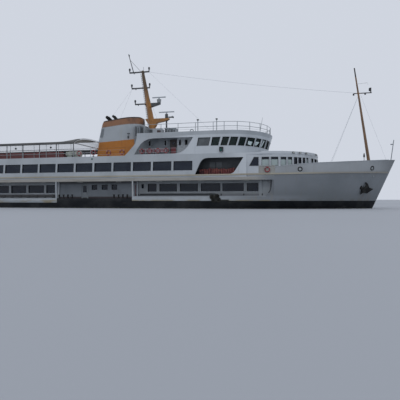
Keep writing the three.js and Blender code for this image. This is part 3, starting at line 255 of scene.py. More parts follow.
# Plain paints
WHITE = (0.42, 0.45, 0.475)
WHITE_SHADE = (0.35, 0.38, 0.4)
# Painted light: a lighter copy of the white for the wheelhouse, the saloon front and the fore ends of the
# boat deck, upper saloon walls and side screens
WHITE_PAINTED_LIGHT = (0.55, 0.585, 0.615)
# Painted shade of the bow's plating below the strake, also laid on the fore bulwark and the fore end of the
# deck edge
BOW_PAINTED_SHADE = (0.215, 0.235, 0.255)
SIDE_WHITE = (WHITE, WHITE_SHADE, 0.42, (0.34, 0.3, 0.24), 0.3, True)
PAINTED_LIGHT_WHITE = (WHITE_PAINTED_LIGHT, (0.46, 0.49, 0.52), 0.42, (0.34, 0.31, 0.26), 0.25, True)
paint("white", *SIDE_WHITE)
# The boat deck, upper saloon walls and side screens take the white of painted light towards their fore ends,
# and the wheelhouse walls take it all over
paint("white_deck", *SIDE_WHITE, fore=(WHITE_PAINTED_LIGHT, 7.4, 8.6))
paint("white_screen", *SIDE_WHITE, fore=(WHITE_PAINTED_LIGHT, 4, 5.6))
paint("white_fore", *PAINTED_LIGHT_WHITE)
# Saloon front: the white of painted light, with painted shade below the strake at its fore end
paint("white_front", *PAINTED_LIGHT_WHITE, foot=(0.25, 0.265, 0.275))
paint("white_plain", WHITE, WHITE_SHADE, 0.42, (0.36, 0.33, 0.28), 0.25)
# The strake darkens forward with painted shade, as the bow's plating does
paint("strake", (0.41, 0.38, 0.3), (0.33, 0.29, 0.22), 0.5, (0.22, 0.16, 0.11), 0.5,
      fore=((0.3, 0.285, 0.25), 11, 14))
paint("orange", (0.47, 0.17, 0.02), (0.35, 0.125, 0.018), 0.55, (0.16, 0.07, 0.02), 0.4, True)
paint("panel", (0.34, 0.34, 0.32), (0.29, 0.285, 0.26), 0.5)
paint("grey", (0.24, 0.265, 0.285), (0.18, 0.2, 0.215), 0.55, (0.16, 0.13, 0.1), 0.4)
paint("pale_grey", (0.36, 0.39, 0.4), (0.29, 0.31, 0.32), 0.5)
paint("dark_grey", (0.05, 0.056, 0.062), (0.03, 0.034, 0.038), 0.55)
paint("steel", (0.045, 0.048, 0.052), (0.085, 0.075, 0.065), 0.5, (0.13, 0.07, 0.04), 0.4)
paint("door", (0.06, 0.045, 0.04), (0.035, 0.03, 0.028), 0.5)

# Mottled finishes: scale, roughness and colours
spots("black", 3, 0.75, (0.012, 0.012, 0.012), (0.03, 0.03, 0.028), shine=0.2)
spots("jacket", 3.5, 0.8, (0.17, 0.045, 0.045), (0.23, 0.075, 0.06), (0.09, 0.03, 0.035), bump=0.004)
for spotted in (
    ("tyre", 4, 0.85, (0.014, 0.015, 0.013), (0.035, 0.035, 0.026), (0.02, 0.02, 0.018)),
    ("red", 3, 0.5, (0.27, 0.04, 0.045), (0.2, 0.035, 0.04)),
    ("seat_red", 2, 0.6, (0.42, 0.28, 0.31), (0.33, 0.225, 0.25)),
    ("ring_white", 3, 0.5, (0.34, 0.3, 0.31), (0.26, 0.23, 0.24)),
    ("raft", 1.2, 0.5, (0.5, 0.53, 0.46), (0.42, 0.45, 0.39)),
    ("bronze", 3, 0.4, (0.3, 0.17, 0.06), (0.2, 0.13, 0.06)),
    # Painted light: pale colour of the glints at the wheelhouse glass
    ("painted_glint", 2, 0.3, (0.62, 0.72, 0.72), (0.5, 0.6, 0.6)),
    ("gable", 1.5, 0.75, (0.23, 0.225, 0.205), (0.18, 0.178, 0.162)),
    ("blind", 2, 0.35, (0.36, 0.43, 0.42), (0.31, 0.37, 0.37)),
    ("bridge_blind", 2, 0.5, (0.1, 0.113, 0.122), (0.08, 0.09, 0.097)),
    ("lamp", 6, 0.2, (0.55, 0.56, 0.52), (0.4, 0.41, 0.38)),
    ("green_lamp", 8, 0.2, (0.01, 0.16, 0.12), (0.008, 0.09, 0.07)),
    ("red_lamp", 8, 0.2, (0.3, 0.012, 0.01), (0.16, 0.01, 0.008)),
    ("wire", 9, 0.5, (0.4, 0.43, 0.48), (0.3, 0.32, 0.36)),
):
    spots(*spotted)

# Glass, dark on the sides and clearer on the bridge
for name, colour, other, alpha in (
    ("glass", (0.01, 0.016, 0.03), (0.018, 0.026, 0.04), 0.94),
    ("bridge_glass", (0.008, 0.02, 0.018), (0.014, 0.028, 0.026), 0.72),
):
    f = Finish(name, 0.3)
    f.link(alpha, f.shader.inputs["Alpha"])
    f.done(f.patches(colour, other, 1.7, 3, 0.4, 0.65, (1, 1, 2)), 0.03, 0.1, (3, 1, 0.0012), grain=2)

# Wood of the benches, red on the boat deck and worn in the galleries
for name, colour, shade in (
    ("wood", (0.2, 0.052, 0.05), (0.12, 0.038, 0.036)),
    ("worn_wood", (0.1, 0.095, 0.095), (0.06, 0.058, 0.06)),
):
    f = Finish(name, coat=0.1)
    grain = f.noise(9, 5, (0.6, 6, 6))
    base = f.mix(colour, shade, f.ramp(grain, 0.35, 0.7))
    base = f.patches(base, [c * 0.9 for c in colour], 1.3, 4, 0.55, 0.75)
    f.done(base, 0.4, 0.65, (grain, 0.001))

# Deck paint
f = Finish("deck")
shade = (0.065, 0.08, 0.075)
base = f.patches((0.09, 0.115, 0.105), shade, 0.8, 6, 0.38, 0.68)
base = f.mix(base, [c * 0.7 for c in shade], f.times(f.spread(5, 4, 0.6, 0.8), 0.5))
f.done(base, 0.65, 0.9, (90, 2, 0.0012), (1.2, 2, 0.004))

# Hull: scuffed black, weed at the waterline, dull red under water, pale aft above the black
f = Finish("hull", 0.2)
x, _, z = f.axes()
base = f.patches((0.012, 0.014, 0.017), (0.03, 0.032, 0.034), 1.1, 5, 0.4, 0.7)
base = f.mix(base, (0.075, 0.07, 0.062), f.times(f.spread(1, 4, 0.6, 0.75, (1.2, 1.2, 5)), 0.45))
base = f.mix(base, (0.045, 0.05, 0.035), f.times(f.ramp(z, 0.11, 0.01), f.spread(4, 4, 0.35, 0.65)))
under = f.patches((0.13, 0.03, 0.022), (0.07, 0.028, 0.022), 0.9, 5, 0.35, 0.7)
base = f.mix(base, under, f.ramp(z, -0.02, -0.03))
pale = f.patches(WHITE_SHADE, (0.3, 0.26, 0.18), 1.3, 4, 0.42, 0.7, (1, 1, 3))
base = f.mix(base, pale, f.zone((z, 0.332, 0.337), (x, -3.09, -3.11)))
f.done(base, 0.42, 0.7, (1.6, 2, 0.007), (30, 3, 0.001), (f.seams("X", 2.5, 0.008), 0.0015))

# Bow: white plating with painted shade towards the stem and below the strake, deepening towards the bottom;
# rust below the anchors and along the black
f = Finish("bow")
x, _, z = f.axes()
base = f.patches((0.38, 0.4, 0.415), (0.31, 0.33, 0.345), 0.6, 5, 0.35, 0.75)
# Painted shade towards the stem
base = f.mix(base, (0.195, 0.207, 0.215), f.ramp(x, 15.6, 17.2))
# Painted shade below the strake, darker towards the bottom and lighter again aft near the waterline
low = f.patches(BOW_PAINTED_SHADE, (0.18, 0.2, 0.215), 0.7, 5, 0.35, 0.75)
low = f.mix(low, (0.135, 0.15, 0.16), f.ramp(z, 1.5, 0.3, 0, 0.7))
low = f.mix(low, BOW_PAINTED_SHADE, f.zone((x, 13, 10.4), (z, 0.85, 0.65)))
rise = f.most(f.times(f.minus(x, 5), 1 / 12), 0)
strake = f.plus(f.times(rise, rise, 0.185), 1.915)
base = f.mix(base, low, f.ramp(f.minus(z, strake), 0.01, -0.02))
base = f.mix(base, (0.19, 0.165, 0.125), f.times(f.spread(1, 4, 0.56, 0.8, (6, 6, 0.3)), 0.25))
rust = f.times(f.band(x, 15.25, 0.5, 0.05), f.zone((z, 1, 0.85), (z, 0.42, 0.6, 1, 0.7)),
               f.spread(1, 4, 0.4, 0.65, (9, 9, 0.8)), 0.5)
base = f.mix(base, (0.17, 0.12, 0.075), rust)
base = f.mix(base, (0.13, 0.125, 0.105), f.times(f.ramp(z, 0.62, 0.46), f.spread(2.2), 0.7))
lines = f.most(f.seams("X", 2.5, 0.006), f.seams("Z", 0.72, 0.005, 0.2))
base = f.mix(base, (0.19, 0.2, 0.21), f.times(lines, 0.35))
f.done(base, 0.34, 0.55, (1.6, 2, 0.008), (lines, 0.0015), (45, 2, 0.0006))

# Main-deck bulwark: white, with painted shade over its fore part, brown grime along its foot and runs from
# its scuppers
f = Finish("bulwark")
x, _, z = f.axes()
base = f.patches(WHITE, WHITE_SHADE, 0.9, 5, 0.35, 0.7)
# Painted shade over the fore part of the bulwark
shade = f.mix((0.165, 0.18, 0.195), BOW_PAINTED_SHADE, f.ramp(z, 0.85, 0.65))
base = f.mix(base, shade, f.ramp(x, 6.3, 9.6))
base = f.mix(base, (0.3, 0.25, 0.16), f.times(f.spread(1, 4, 0.55, 0.78, (7, 7, 0.5)), 0.4))
foot = f.times(f.ramp(z, 0.56, 0.46), f.spread(1.4, 4, 0.38, 0.6, (1, 1, 3)), 0.75)
base = f.mix(base, (0.26, 0.22, 0.12), foot)
f.done(base, 0.4, 0.65, (2, 2, 0.005), (40, 2, 0.0006))

# Band of the funnel: greyish pink at its foot, brown above, dark along the crown and over its front end
f = Finish("band")
x, _, z = f.axes()
level = f.minus(z, f.times(x, 0.104))
base = f.mix((0.25, 0.17, 0.125), (0.29, 0.135, 0.065), f.ramp(level, 5.36, 5.44))
base = f.patches(base, (0.17, 0.085, 0.05), 2.5, 5, 0.45, 0.75)
crown = f.plus(f.times(f.plus(x, 1.1), 0.126), 5.675)
cap = f.patches((0.05, 0.03, 0.022), (0.03, 0.02, 0.017), 3, 3, 0.4, 0.6)
base = f.mix(base, cap, f.most(f.ramp(f.minus(crown, z), 0.085, 0.06), f.ramp(x, 1.39, 1.43)))
f.done(base, 0.4, 0.6, (2, 2, 0.005), (40, 2, 0.0005))

# Main mast: ochre, sooted towards its top, grey fittings and a pale foot box with dark panels
f = Finish("mast")
x, y, z = f.axes()
ochre = f.patches((0.38, 0.165, 0.035), (0.26, 0.12, 0.035), 1.6, 5, 0.35, 0.7)
soot = f.patches((0.115, 0.07, 0.035), (0.07, 0.048, 0.03), 2)
grey = f.patches((0.055, 0.06, 0.065), (0.085, 0.088, 0.09), 3)
pale = f.patches(WHITE, WHITE_SHADE, 1, 5, 0.35, 0.7)
base = f.mix(ochre, soot, f.ramp(f.plus(z, f.noise(1.4, 3)), 7.6, 8.6))
height = f.minus(z, 4.475)
trunk = f.minus(2.16, f.times(height, 0.1818))
reach = f.minus(0.3, f.times(height, 0.037))
away = f.zone((f.minus(f.off(x, trunk), reach), 0, 0.02), (z, 6.55, 6.6))
pole = f.times(f.band(x, 3, 0.107, 0.104), f.band(y, 0, 0.107, 0.104))
base = f.mix(base, grey, f.most(away, pole))
base = f.mix(base, (0.27, 0.285, 0.295), f.zone((x, 2.26, 2.28), (z, 6.95, 6.97)))
foot = f.mix(pale, grey, f.zone((x, 2.12, 2.1), (z, 5.16, 5.15)))
foot = f.mix(foot, (0.055, 0.03, 0.028), f.times(f.band(x, 2.575, 0.155, 0.15), f.band(z, 4.83, 0.28, 0.27)))
base = f.mix(base, foot, f.ramp(z, 5.192, 5.186))
f.done(base, 0.42, 0.6, (2.5, 2, 0.005), (40, 2, 0.0006))

# Foremast: weathered brown, with dark grey arms and a dark top
f = Finish("foremast")
x, _, z = f.axes()
brown = f.patches((0.23, 0.125, 0.06), (0.15, 0.09, 0.05), 2, 5, 0.35, 0.7)
grey = f.patches((0.05, 0.052, 0.055), (0.08, 0.075, 0.07), 3)
arms = f.zone((f.off(x, f.minus(16.037, f.times(z, 0.155))), 0.1, 0.12), (z, 6.5, 6.52))
base = f.mix(brown, grey, f.most(arms, f.ramp(z, 7.8, 7.84)))
f.done(base, 0.42, 0.6, (2.5, 2, 0.004), (40, 2, 0.0006))

# Wall of the shaded side galleries, with painted shade low on the fore gallery's wall and through the
# boarding bay, deepest under the bay's ceiling; the bay's foot is a dull red
f = Finish("gallery_wall")
x, _, z = f.axes()
base = f.patches((0.3, 0.32, 0.335), (0.24, 0.26, 0.275), 0.8, 5, 0.35, 0.7)
# Painted shade low on the fore gallery's wall, above the bulwark
low = f.patches((0.18, 0.185, 0.205), (0.145, 0.15, 0.165), 1.1, 4, 0.35, 0.7)
base = f.mix(base, low, f.zone((z, 0.812, 0.806), (x, 1.9, 1.95)))
# Painted shade through the boarding bay, deepest under its ceiling
inner = f.patches((0.21, 0.235, 0.26), (0.17, 0.19, 0.21), 1, 4, 0.35, 0.7)
inner = f.mix(inner, (0.07, 0.075, 0.08), f.ramp(z, 1.42, 1.6))
inner = f.mix(inner, (0.045, 0.03, 0.034), f.ramp(z, 0.74, 0.66))
base = f.mix(base, inner, f.zone((x, -3.45, -3.42), (x, 1.95, 1.9)))
f.done(base, 0.4, 0.65, (1.8, 2, 0.005), (f.seams("X", 1.26, 0.006), 0.0015))

# Deck edge above the galleries: a cream band that turns to the bow's painted shade forward
f = Finish("deck_edge")
base = f.patches((0.37, 0.36, 0.33), (0.31, 0.295, 0.26), 1.1, 5, 0.38, 0.72, (1, 1, 3))
# Painted shade forward, as on the bow
base = f.mix(base, BOW_PAINTED_SHADE, f.ramp(f.axes()[0], 9, 10.2))
f.done(base, 0.4, 0.6, (1.8, 2, 0.005), (f.seams("X", 1.26, 0.006), 0.0015))

# Wall of the deckhouse behind the screens, grey, with painted light that makes its fore end paler
f = Finish("house_wall")
dark = f.patches((0.24, 0.265, 0.285), (0.18, 0.2, 0.215), 1.2)
# Painted light on the fore end of the wall
base = f.mix(dark, (0.62, 0.65, 0.665), f.ramp(f.axes()[0], 4.42, 4.46))
f.done(base, 0.45, 0.65, (1.6, 2, 0.004), (f.seams("X", 1.26, 0.006), 0.001))

# Canopy frame: dark posts, beams under the sheet and the frame's fore end pale with painted light against the
# bright sky, grey rails that turn ochre by the casing
f = Finish("canopy_frame")
x, y, z = f.axes()
base = f.patches((0.1, 0.105, 0.11), (0.065, 0.07, 0.075), 2)
# Painted light: the beams under the sheet are pale so that they fade against the bright sky
base = f.mix(base, (0.42, 0.44, 0.46), f.times(f.ramp(z, 3.86, 3.9), f.band(y, 0, 2.76, 2.7)))
base = f.mix(base, (0.32, 0.34, 0.35), f.ramp(z, 3.58, 3.56))
# Painted light on the frame's fore end, pale so that it fades against the bright sky
base = f.mix(base, (0.45, 0.47, 0.5), f.zone((x, -2.1, -2), (z, 3.86, 3.8)))
base = f.mix(base, (0.36, 0.14, 0.03), f.zone((x, -0.6, -0.5), (z, 3.86, 3.8)))
f.done(base, 0.45, 0.65, (40, 2, 0.0006))

# Canopy: weathered translucent sheet with opaque eaves, clearest where it is seen edge on
f = Finish("canopy")
eaves = f.patches((0.095, 0.095, 0.095), (0.13, 0.128, 0.12), 0.8, 5, 0.35, 0.7)
sheet = f.patches((0.5, 0.52, 0.54), (0.4, 0.41, 0.42), 1, 4, 0.4, 0.7, (4, 0.6, 1))
flat = f.band(f.axes()[1], 0, 2.36, 2.2)
facing = f.node("LayerWeight", "Facing")
clear = f.times(flat, f.ramp(facing, 0.6, 0.82, 0.4, 0.86))
f.link(f.minus(1, clear), f.shader.inputs["Alpha"])
f.done(f.mix(eaves, sheet, flat), 0.65, 0.85, (2.2, 3, 0.006), (60, 3, 0.0008))

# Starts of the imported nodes' names by finish; the longest start that fits a name is taken
NODE_FINISH = {
    "hull": "hull rudder threshold",
    "bow": "bow_hull bow_bulwark",
    "bulwark": "bulwark",
    "white_deck": "boat_deck upper_saloon_walls",
    "white_screen": "side_screen",
    "white_fore": "wheelhouse_walls",
    "white_front": "saloon_front_walls",
    "white_plain": "funnel upper_aft_rail scanner",
    "steel": "shaft mooring",
    "bronze": "propeller",
    "deck": "main_deck",
    "deck_edge": "upper_deck",
    "glass": "main_glass upper_glass saloon_front_glass",
    "bridge_glass": "wheelhouse_glass",
    "gallery_wall": "main_saloon_walls",
    "house_wall": "boat_deck_house",
    "grey": "main_door roof_lockers jackstaff",
    "pale_grey": "roof_rail",
    # The lobby's walls take dark grey as painted shade
    "dark_grey": "lobby",
    "door": "house_door",
    "strake": "strake",
    "orange": "engine_casing",
    "band": "funnel_band",
    "black": "exhaust anchor",
    "mast": "main_mast",
    "foremast": "foremast",
    "canopy_frame": "canopy_frame",
    "canopy": "canopy",
    "wood": "side_bench middle_bench",
    "raft": "life_rafts",
}
STARTS = {start: finish for finish, starts in NODE_FINISH.items() for start in starts.split()}

# Modifier group that joins shared corners and shades every edge flatter than 32 degrees smooth
smooth = bpy.data.node_groups.new("smooth_edges", "GeometryNodeTree")
for way in ("INPUT", "OUTPUT"):
    smooth.interface.new_socket("Geometry", in_out=way, socket_type="NodeSocketGeometry")
start, bare, weld, faces, edges, end, angle, compare = (smooth.nodes.new(kind) for kind in (
    "NodeGroupInput", "GeometryNodeRemoveAttribute", "GeometryNodeMergeByDistance",
    "GeometryNodeSetShadeSmooth", "GeometryNodeSetShadeSmooth", "NodeGroupOutput",
    "GeometryNodeInputMeshEdgeAngle", "FunctionNodeCompare"))
bare.inputs["Name"].default_value = "custom_normal"
weld.inputs["Distance"].default_value = 0.0002
edges.domain = "EDGE"
edges.inputs["Shade Smooth"].default_value = False
compare.inputs["B"].default_value = radians(32)
chain = [start, bare, weld, faces, edges, end]
for a, b in zip(chain, chain[1:]):
    smooth.links.new(a.outputs["Geometry"], b.inputs["Geometry"])
smooth.links.new(angle.outputs["Unsigned Angle"], compare.inputs["A"])
smooth.links.new(compare.outputs["Result"], edges.inputs["Selection"])

for name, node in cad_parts.items():
    fitting = max((start for start in STARTS if name.startswith(start)), key=len, default=None)
    node.data.materials.clear()
    node.data.materials.append(M[STARTS.get(fitting, "white")])
    node.modifiers.new("smooth", "NODES").node_group = smooth

# Kits of the pieces, in the order in which they are declared, and the usual slot of each finish
KITS = []
SLOT_FINISHES = {
    "white_paint": "white_plain",
    "grey_paint": "pale_grey grey dark_grey wire",
    "beige_paint": "panel",
    "black_paint": "black tyre",
    "dark_metal": "steel",
    "glass": "glass lamp green_lamp red_lamp",
    "raft_shell": "red ring_white",
    "bench_wood": "seat_red wood worn_wood",
}
SLOTS = {finish: slot for slot, finishes in SLOT_FINISHES.items() for finish in finishes.split()}


def circle(centre, side, other, radius, steps):
    """Points round a centre, from two directions at right angles."""
    turns = [2 * pi * i / steps for i in range(steps)]
    return [centre + (side * cos(a) + other * sin(a)) * radius for a in turns]


class Kit:
    """Small forms gathered into one piece; points are in metres of the full-size ship."""

    def __init__(self, name, finish, slot=None, body="ship", bevel=0, angle=35, both=True):
        self.name, self.finish, self.body = name, finish, body
        self.slot = slot or SLOTS[finish]
        self.bevel, self.angle, self.both = bevel, angle, both
        self.bm = bmesh.new()
        KITS.append(self)

    def faces(self, points, faces):
        verts = [self.bm.verts.new(Vector(p) * K) for p in points]
        for face in faces:
            self.bm.faces.new([verts[i] for i in face])

    def prism(self, outline, push):
        """Solid between an outline of points in space and the same outline pushed along."""
        n = len(outline)
        points = [Vector(p) for p in outline]
        points += [p + Vector(push) for p in points]
        faces = [list(range(n))[::-1], list(range(n, 2 * n))]
        faces += [[i, (i + 1) % n, n + (i + 1) % n, n + i] for i in range(n)]
        self.faces(points, faces)

    def box(self, x0, x1, y0, y1, z0, z1):
        self.prism([(x0, y0, z0), (x1, y0, z0), (x1, y1, z0), (x0, y1, z0)], (0, 0, z1 - z0))

    def tube(self, points, radius, sides=8, closed=False):
        """Tube along points; the radius is one number or one for each point."""
        points = [Vector(p) for p in points]
        count = len(points)
        radii = radius if isinstance(radius, (list, tuple)) else [radius] * count
        rows = []
        for i, p in enumerate(points):
            before = points[i - 1] if closed or i else p
            after = points[(i + 1) % count] if closed or i < count - 1 else p
            ahead = (after - before).normalized()
            side = ahead.cross(UP if abs(ahead.z) < 0.95 else Vector((0, 1, 0))).normalized()
            rows += circle(p, side, side.cross(ahead), radii[i], sides)
        faces = []
        for i in range(count if closed else count - 1):
            j = (i + 1) % count
            for s in range(sides):
                t = (s + 1) % sides
                faces.append([i * sides + s, i * sides + t, j * sides + t, j * sides + s])
        if not closed:
            faces.append(list(range(sides))[::-1])
            faces.append([(count - 1) * sides + s for s in range(sides)])
        self.faces(rows, faces)

    def bar(self, a, b, radius, sides=8, end=None):
        self.tube([a, b], [radius, radius if end is None else end], sides)

    def ring(self, centre, normal, big, small, steps=28, sides=10):
        centre, normal = Vector(centre), Vector(normal).normalized()
        side = normal.cross(UP if abs(normal.z) < 0.9 else Vector((1, 0, 0))).normalized()
        self.tube(circle(centre, side, side.cross(normal), big, steps), small, sides, closed=True)

    def turned(self, base, profile, sides=20, axis=UP):
        """Form turned about an axis. The profile is (distance along it, radius) pairs."""
        base, axis = Vector(base), Vector(axis).normalized()
        self.tube([base + axis * t for t, _ in profile], [max(r, 1e-4) for _, r in profile], sides)

    def frame(self, corners, width, push):
        """Flat frame inside an outline, as wide as told, with its thickness given by a push."""
        points = [Vector(p) for p in corners]
        n = len(points)
        normal = (points[1] - points[0]).cross(points[2] - points[1]).normalized()
        inner = []
        for i, p in enumerate(points):
            a = normal.cross((p - points[i - 1]).normalized())
            b = normal.cross((points[(i + 1) % n] - p).normalized())
            inner.append(p + (a + b) * (width / (1 + a.dot(b))))
        rows = points + inner + [p + Vector(push) for p in inner + points]
        faces = []
        for r in range(4):
            a, b = r * n, ((r + 1) % 4) * n
            for i in range(n):
                j = (i + 1) % n
                faces.append([a + i, a + j, b + j, b + i])
        self.faces(rows, faces)

    def strip(self, x0, x1, low, high, proud, deep, steps=24):
        """Strip that follows the ship's side; each edge's height is a number or given at a place."""
        low, high = (z if callable(z) else (lambda x, z=z: z) for z in (low, high))
        rows = []
        for i in range(steps + 1):
            x = x0 + (x1 - x0) * i / steps
            for z, out in ((low(x), proud), (high(x), proud), (high(x), -deep), (low(x), -deep)):
                rows.append(skin(x, z, -out))
        faces = [[0, 1, 2, 3], [4 * steps + i for i in (3, 2, 1, 0)]]
        for i in range(steps):
            for s in range(4):
                t = (s + 1) % 4
                faces.append([4 * i + s, 4 * i + t, 4 * i + 4 + t, 4 * i + 4 + s])
        self.faces(rows, faces)

    def make(self):
        """Makes the piece, with the same forms on the other side of the ship where both is set."""
        if self.both:
            made = bmesh.ops.duplicate(self.bm, geom=self.bm.verts[:] + self.bm.edges[:] + self.bm.faces[:])
            for item in made["geom"]:
                if isinstance(item, bmesh.types.BMVert):
                    item.co.y = -item.co.y
        bmesh.ops.recalc_face_normals(self.bm, faces=self.bm.faces[:])
        mesh = bpy.data.meshes.new(self.name)
        self.bm.to_mesh(mesh)
        self.bm.free()
        mesh.materials.append(M[self.finish])
        mesh.polygons.foreach_set("use_smooth", [True] * len(mesh.polygons))
        mesh.set_sharp_from_angle(angle=radians(self.angle))
        piece = bpy.data.objects.new(self.name, mesh)
        scene.collection.objects.link(piece)
        if self.bevel:
            cut = piece.modifiers.new("bevel", "BEVEL")
            cut.width = self.bevel * K
            cut.segments = 2
            cut.limit_method = "ANGLE"
            cut.angle_limit = radians(50)
            cut.harden_normals = True
        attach(piece, self.body)


def arc_point(arc_x, reach, half, degrees, z):
    """Point on a curved deckhouse front, at an angle from the centreline, to starboard."""
    a = radians(degrees)
    return Vector((arc_x + reach * cos(a), -half * sin(a), z))


def quad(aft, fore, low, high):
    return ((aft, low), (fore, low), (fore, high), (aft, high))


def row(start, pitch, count):
    return [start + i * pitch for i in range(count)]


# Window frames: a dark gasket in each cut, with a thin rim on the wall's face
WALL = 0.12
gaskets = Kit("window_gaskets", "black", "glass")
rims = Kit("window_rims", "white_plain")


def wall_window(corners, out=STARBOARD, rim=True):
    """Gasket and rim of one window; the corners lie on the wall's face, out is its outward direction."""
    corners = [Vector(p) for p in corners]
    gaskets.frame([p - out * 0.02 for p in corners], 0.035, -out * (WALL - 0.025))
    if rim:
        centre = sum(corners, Vector()) / len(corners)
        rims.frame([p + (p - centre).normalized() * 0.055 for p in corners], 0.05, out * 0.012)


UPPER_SILL, UPPER_HEAD = 4.38, 5.52
for fore in row(11.28, -2.52, 14):
    wall_window([skin(x, z) for x, z in quad(fore - 2.28, fore, UPPER_SILL, UPPER_HEAD)])

# Windows of the main deck's walls and of the boat-deck house: sill, head, (aft, fore) edges
MAIN_HALF, HOUSE_HALF = 5, 4.6
for half, sill, head, spans in (
    (MAIN_HALF, 1.85, 2.93, ((-24.35, -22.05), (-21.75, -19.45), (-19.15, -16.85), (-16.55, -14.25),
                             (-13.93, -11.61), (-11.33, -8.99), (-8.7, -7.4))),
    (MAIN_HALF, 2.26, 2.89, ((-2.22, -1.46), (-0.85, -0.04), (0.5, 1.24))),
    (MAIN_HALF, 2.4, 2.92, ((4.46, 4.78),)),
    (MAIN_HALF, 1.97, 2.99, ((5.25, 6.42), (6.75, 8.99), (9.33, 11.58), (11.9, 14.27), (14.48, 17),
                             (17.31, 18.68))),
    (HOUSE_HALF, 7.6, 8.2, ((5.2, 5.53), (7.25, 7.53), (9.1, 9.36), (9.84, 10.17))),
):
    for aft, fore in spans:
        wall_window([(x, -half, z) for x, z in quad(aft, fore, sill, head)], rim=not 2.2 < sill < 2.5)

# Wheelhouse windows: two on each side wall, the rest round the raked front
BRIDGE_REACH = 4.964
BRIDGE_SILL, BRIDGE_HEAD = 7.19, 8.17


def bridge_half(z):
    return 6.27 + (7.5 - z) * 0.07


def bridge_point(degrees, z, behind=0):
    arc_x = 14.5 + (z - 7.68) * 0.3
    return arc_point(arc_x, BRIDGE_REACH - behind, bridge_half(z) - behind, degrees, z)


def outward(corners):
    return (corners[1] - corners[0]).cross(corners[3] - corners[0]).normalized()


def front_window(place, low, high, sill, head):
    """Gasket and rim of a window between two angles on a curved front."""
    corners = [place(degrees, z) for degrees, z in quad(high, low, sill, head)]
    wall_window(corners, outward(corners))
    return corners


for low, high in ((79.5, 88.6), (68, 78), (57, 66), (43.4, 55.4), (32, 41.6), (20, 29), (7.5, 17.5)):
    front_window(bridge_point, low, high, BRIDGE_SILL, BRIDGE_HEAD)
for aft, fore in ((11.85, 13.25), (13.5, 14.4)):
    low, high = BRIDGE_SILL, BRIDGE_HEAD
    corners = ((aft - 0.12, low), (fore - 0.12, low), (fore + 0.12, high), (aft + 0.06, high))
    wall_window([(x, -bridge_half(z), z) for x, z in corners])

# Behind the wheelhouse glass: a grey blind; at the glass, pale patches of painted light for the bright far
# windows and the glints
blind = Kit("bridge_blind", "bridge_blind", "white_paint")
blind.prism([(x, 0.1 - bridge_half(z), z) for x, z in (
    (11.72, BRIDGE_SILL), (13.12, BRIDGE_SILL), (13.36, BRIDGE_HEAD), (11.92, BRIDGE_HEAD))], (0, 0.02, 0))
# Painted light: pale patches at the glass for the far windows and the glints
glints = Kit("bridge_painted_glints", "painted_glint", "white_paint")
for corners in (
    ((52, 7.42), (46.5, 7.3), (45.5, 7.72), (52.5, 7.78)),
    ((39.5, 7.32), (36.5, 7.42), (33, 7.8), (40.5, 7.78)),
    ((27.5, 7.3), (25.5, 7.3), (22, 8.05), (24.5, 8.1)),
):
    inside = [bridge_point(degrees, z, 0.11) for degrees, z in corners]
    glints.prism(inside, outward(inside) * 0.01)

# Saloon front windows between angles; the last value is how far a blind is drawn up, from the sill
SALOON_SILL, SALOON_HEAD = 4.78, 5.77


def saloon_half(z):
    return 6.3 + (6.12 - z) * 0.03


def saloon_point(degrees, z):
    return arc_point(19, saloon_half(z), saloon_half(z), degrees, z)


blinds = Kit("saloon_blinds", "blind", "white_paint")
for low, high, drawn in (
    (81, 88.6, 0.72), (71.9, 79.3, 0.72), (63.5, 69.5, 0.72), (57, 62, 0.72), (50.8, 55.2, 0),
    (45.5, 49.8, 0), (40, 43.8, 0), (34.8, 38.3, 0.85), (24.8, 29, 0), (13, 21.5, 0), (1.5, 10, 0),
):
    corners = front_window(saloon_point, low, high, SALOON_SILL, SALOON_HEAD)
    if drawn:
        out = outward(corners)
        a, b, top_b, top_a = (p - out * 0.075 for p in corners)
        blinds.prism([a, b, b.lerp(top_b, drawn), a.lerp(top_a, drawn)], out * 0.01)
quarter = [(17.75, SALOON_SILL), (18.84, SALOON_SILL), (18.84, SALOON_HEAD), (18.3, SALOON_HEAD)]
wall_window([(x, -saloon_half(z), z) for x, z in quarter])

# Main-deck and bow bulwarks: cap rails, stanchions inside, small bollards along both thresholds
AFT_TOP, FORE_TOP = 1.19, 1.41
caps = Kit("bulwark_caps", "white_plain")
caps.strip(-33, -6.38, AFT_TOP, AFT_TOP + 0.045, 0.03, 0.17, 40)
caps.strip(4.2, 19.6, FORE_TOP, FORE_TOP + 0.045, 0.03, 0.17)
caps.strip(20.6, 33.2, lambda x: bow_top(x) - 0.02, lambda x: bow_top(x) + 0.035, 0.04, 0.18)
stays = Kit("bulwark_stays", "white_plain")


def stay(x, level, inward, foot, deck, top, width):
    y = inward - side_y(x, level)
    stays.prism([(x, y, deck), (x, y + foot, deck), (x, y + width, top), (x, y, top)], (0.03, 0, 0))


for x in row(-32, 1.08, 48):
    if x <= -6.5 or 4.3 <= x <= 19.8:
        stay(x, 1.2, 0.12, 0.3, MAIN_DECK, AFT_TOP if x < 0 else FORE_TOP, 0.08)
for x in row(21.4, 1.25, 9):
    stay(x, 4.2, 0.13, 0.45, 3.62, bow_top(x) - 0.04, 0.1)

bollards = Kit("threshold_bollards", "black")
BOLLARD = [(0, 0.13), (0.04, 0.13), (0.05, 0.085), (0.36, 0.085), (0.38, 0.12), (0.44, 0.12), (0.47, 0.09)]
for x in (-5.95, -5.32, -4.72, -4.14, 1.47, 2.07, 2.63, 3.2):
    bollards.turned(skin(x, 1.2, 0.135), BOLLARD, 14)
for x in (14.61, 17.17, 19.2):
    bollards.turned((x, 0.09 - side_y(x, 1.4), 1.45), [(t * 0.55, r * 0.6) for t, r in BOLLARD], 12)

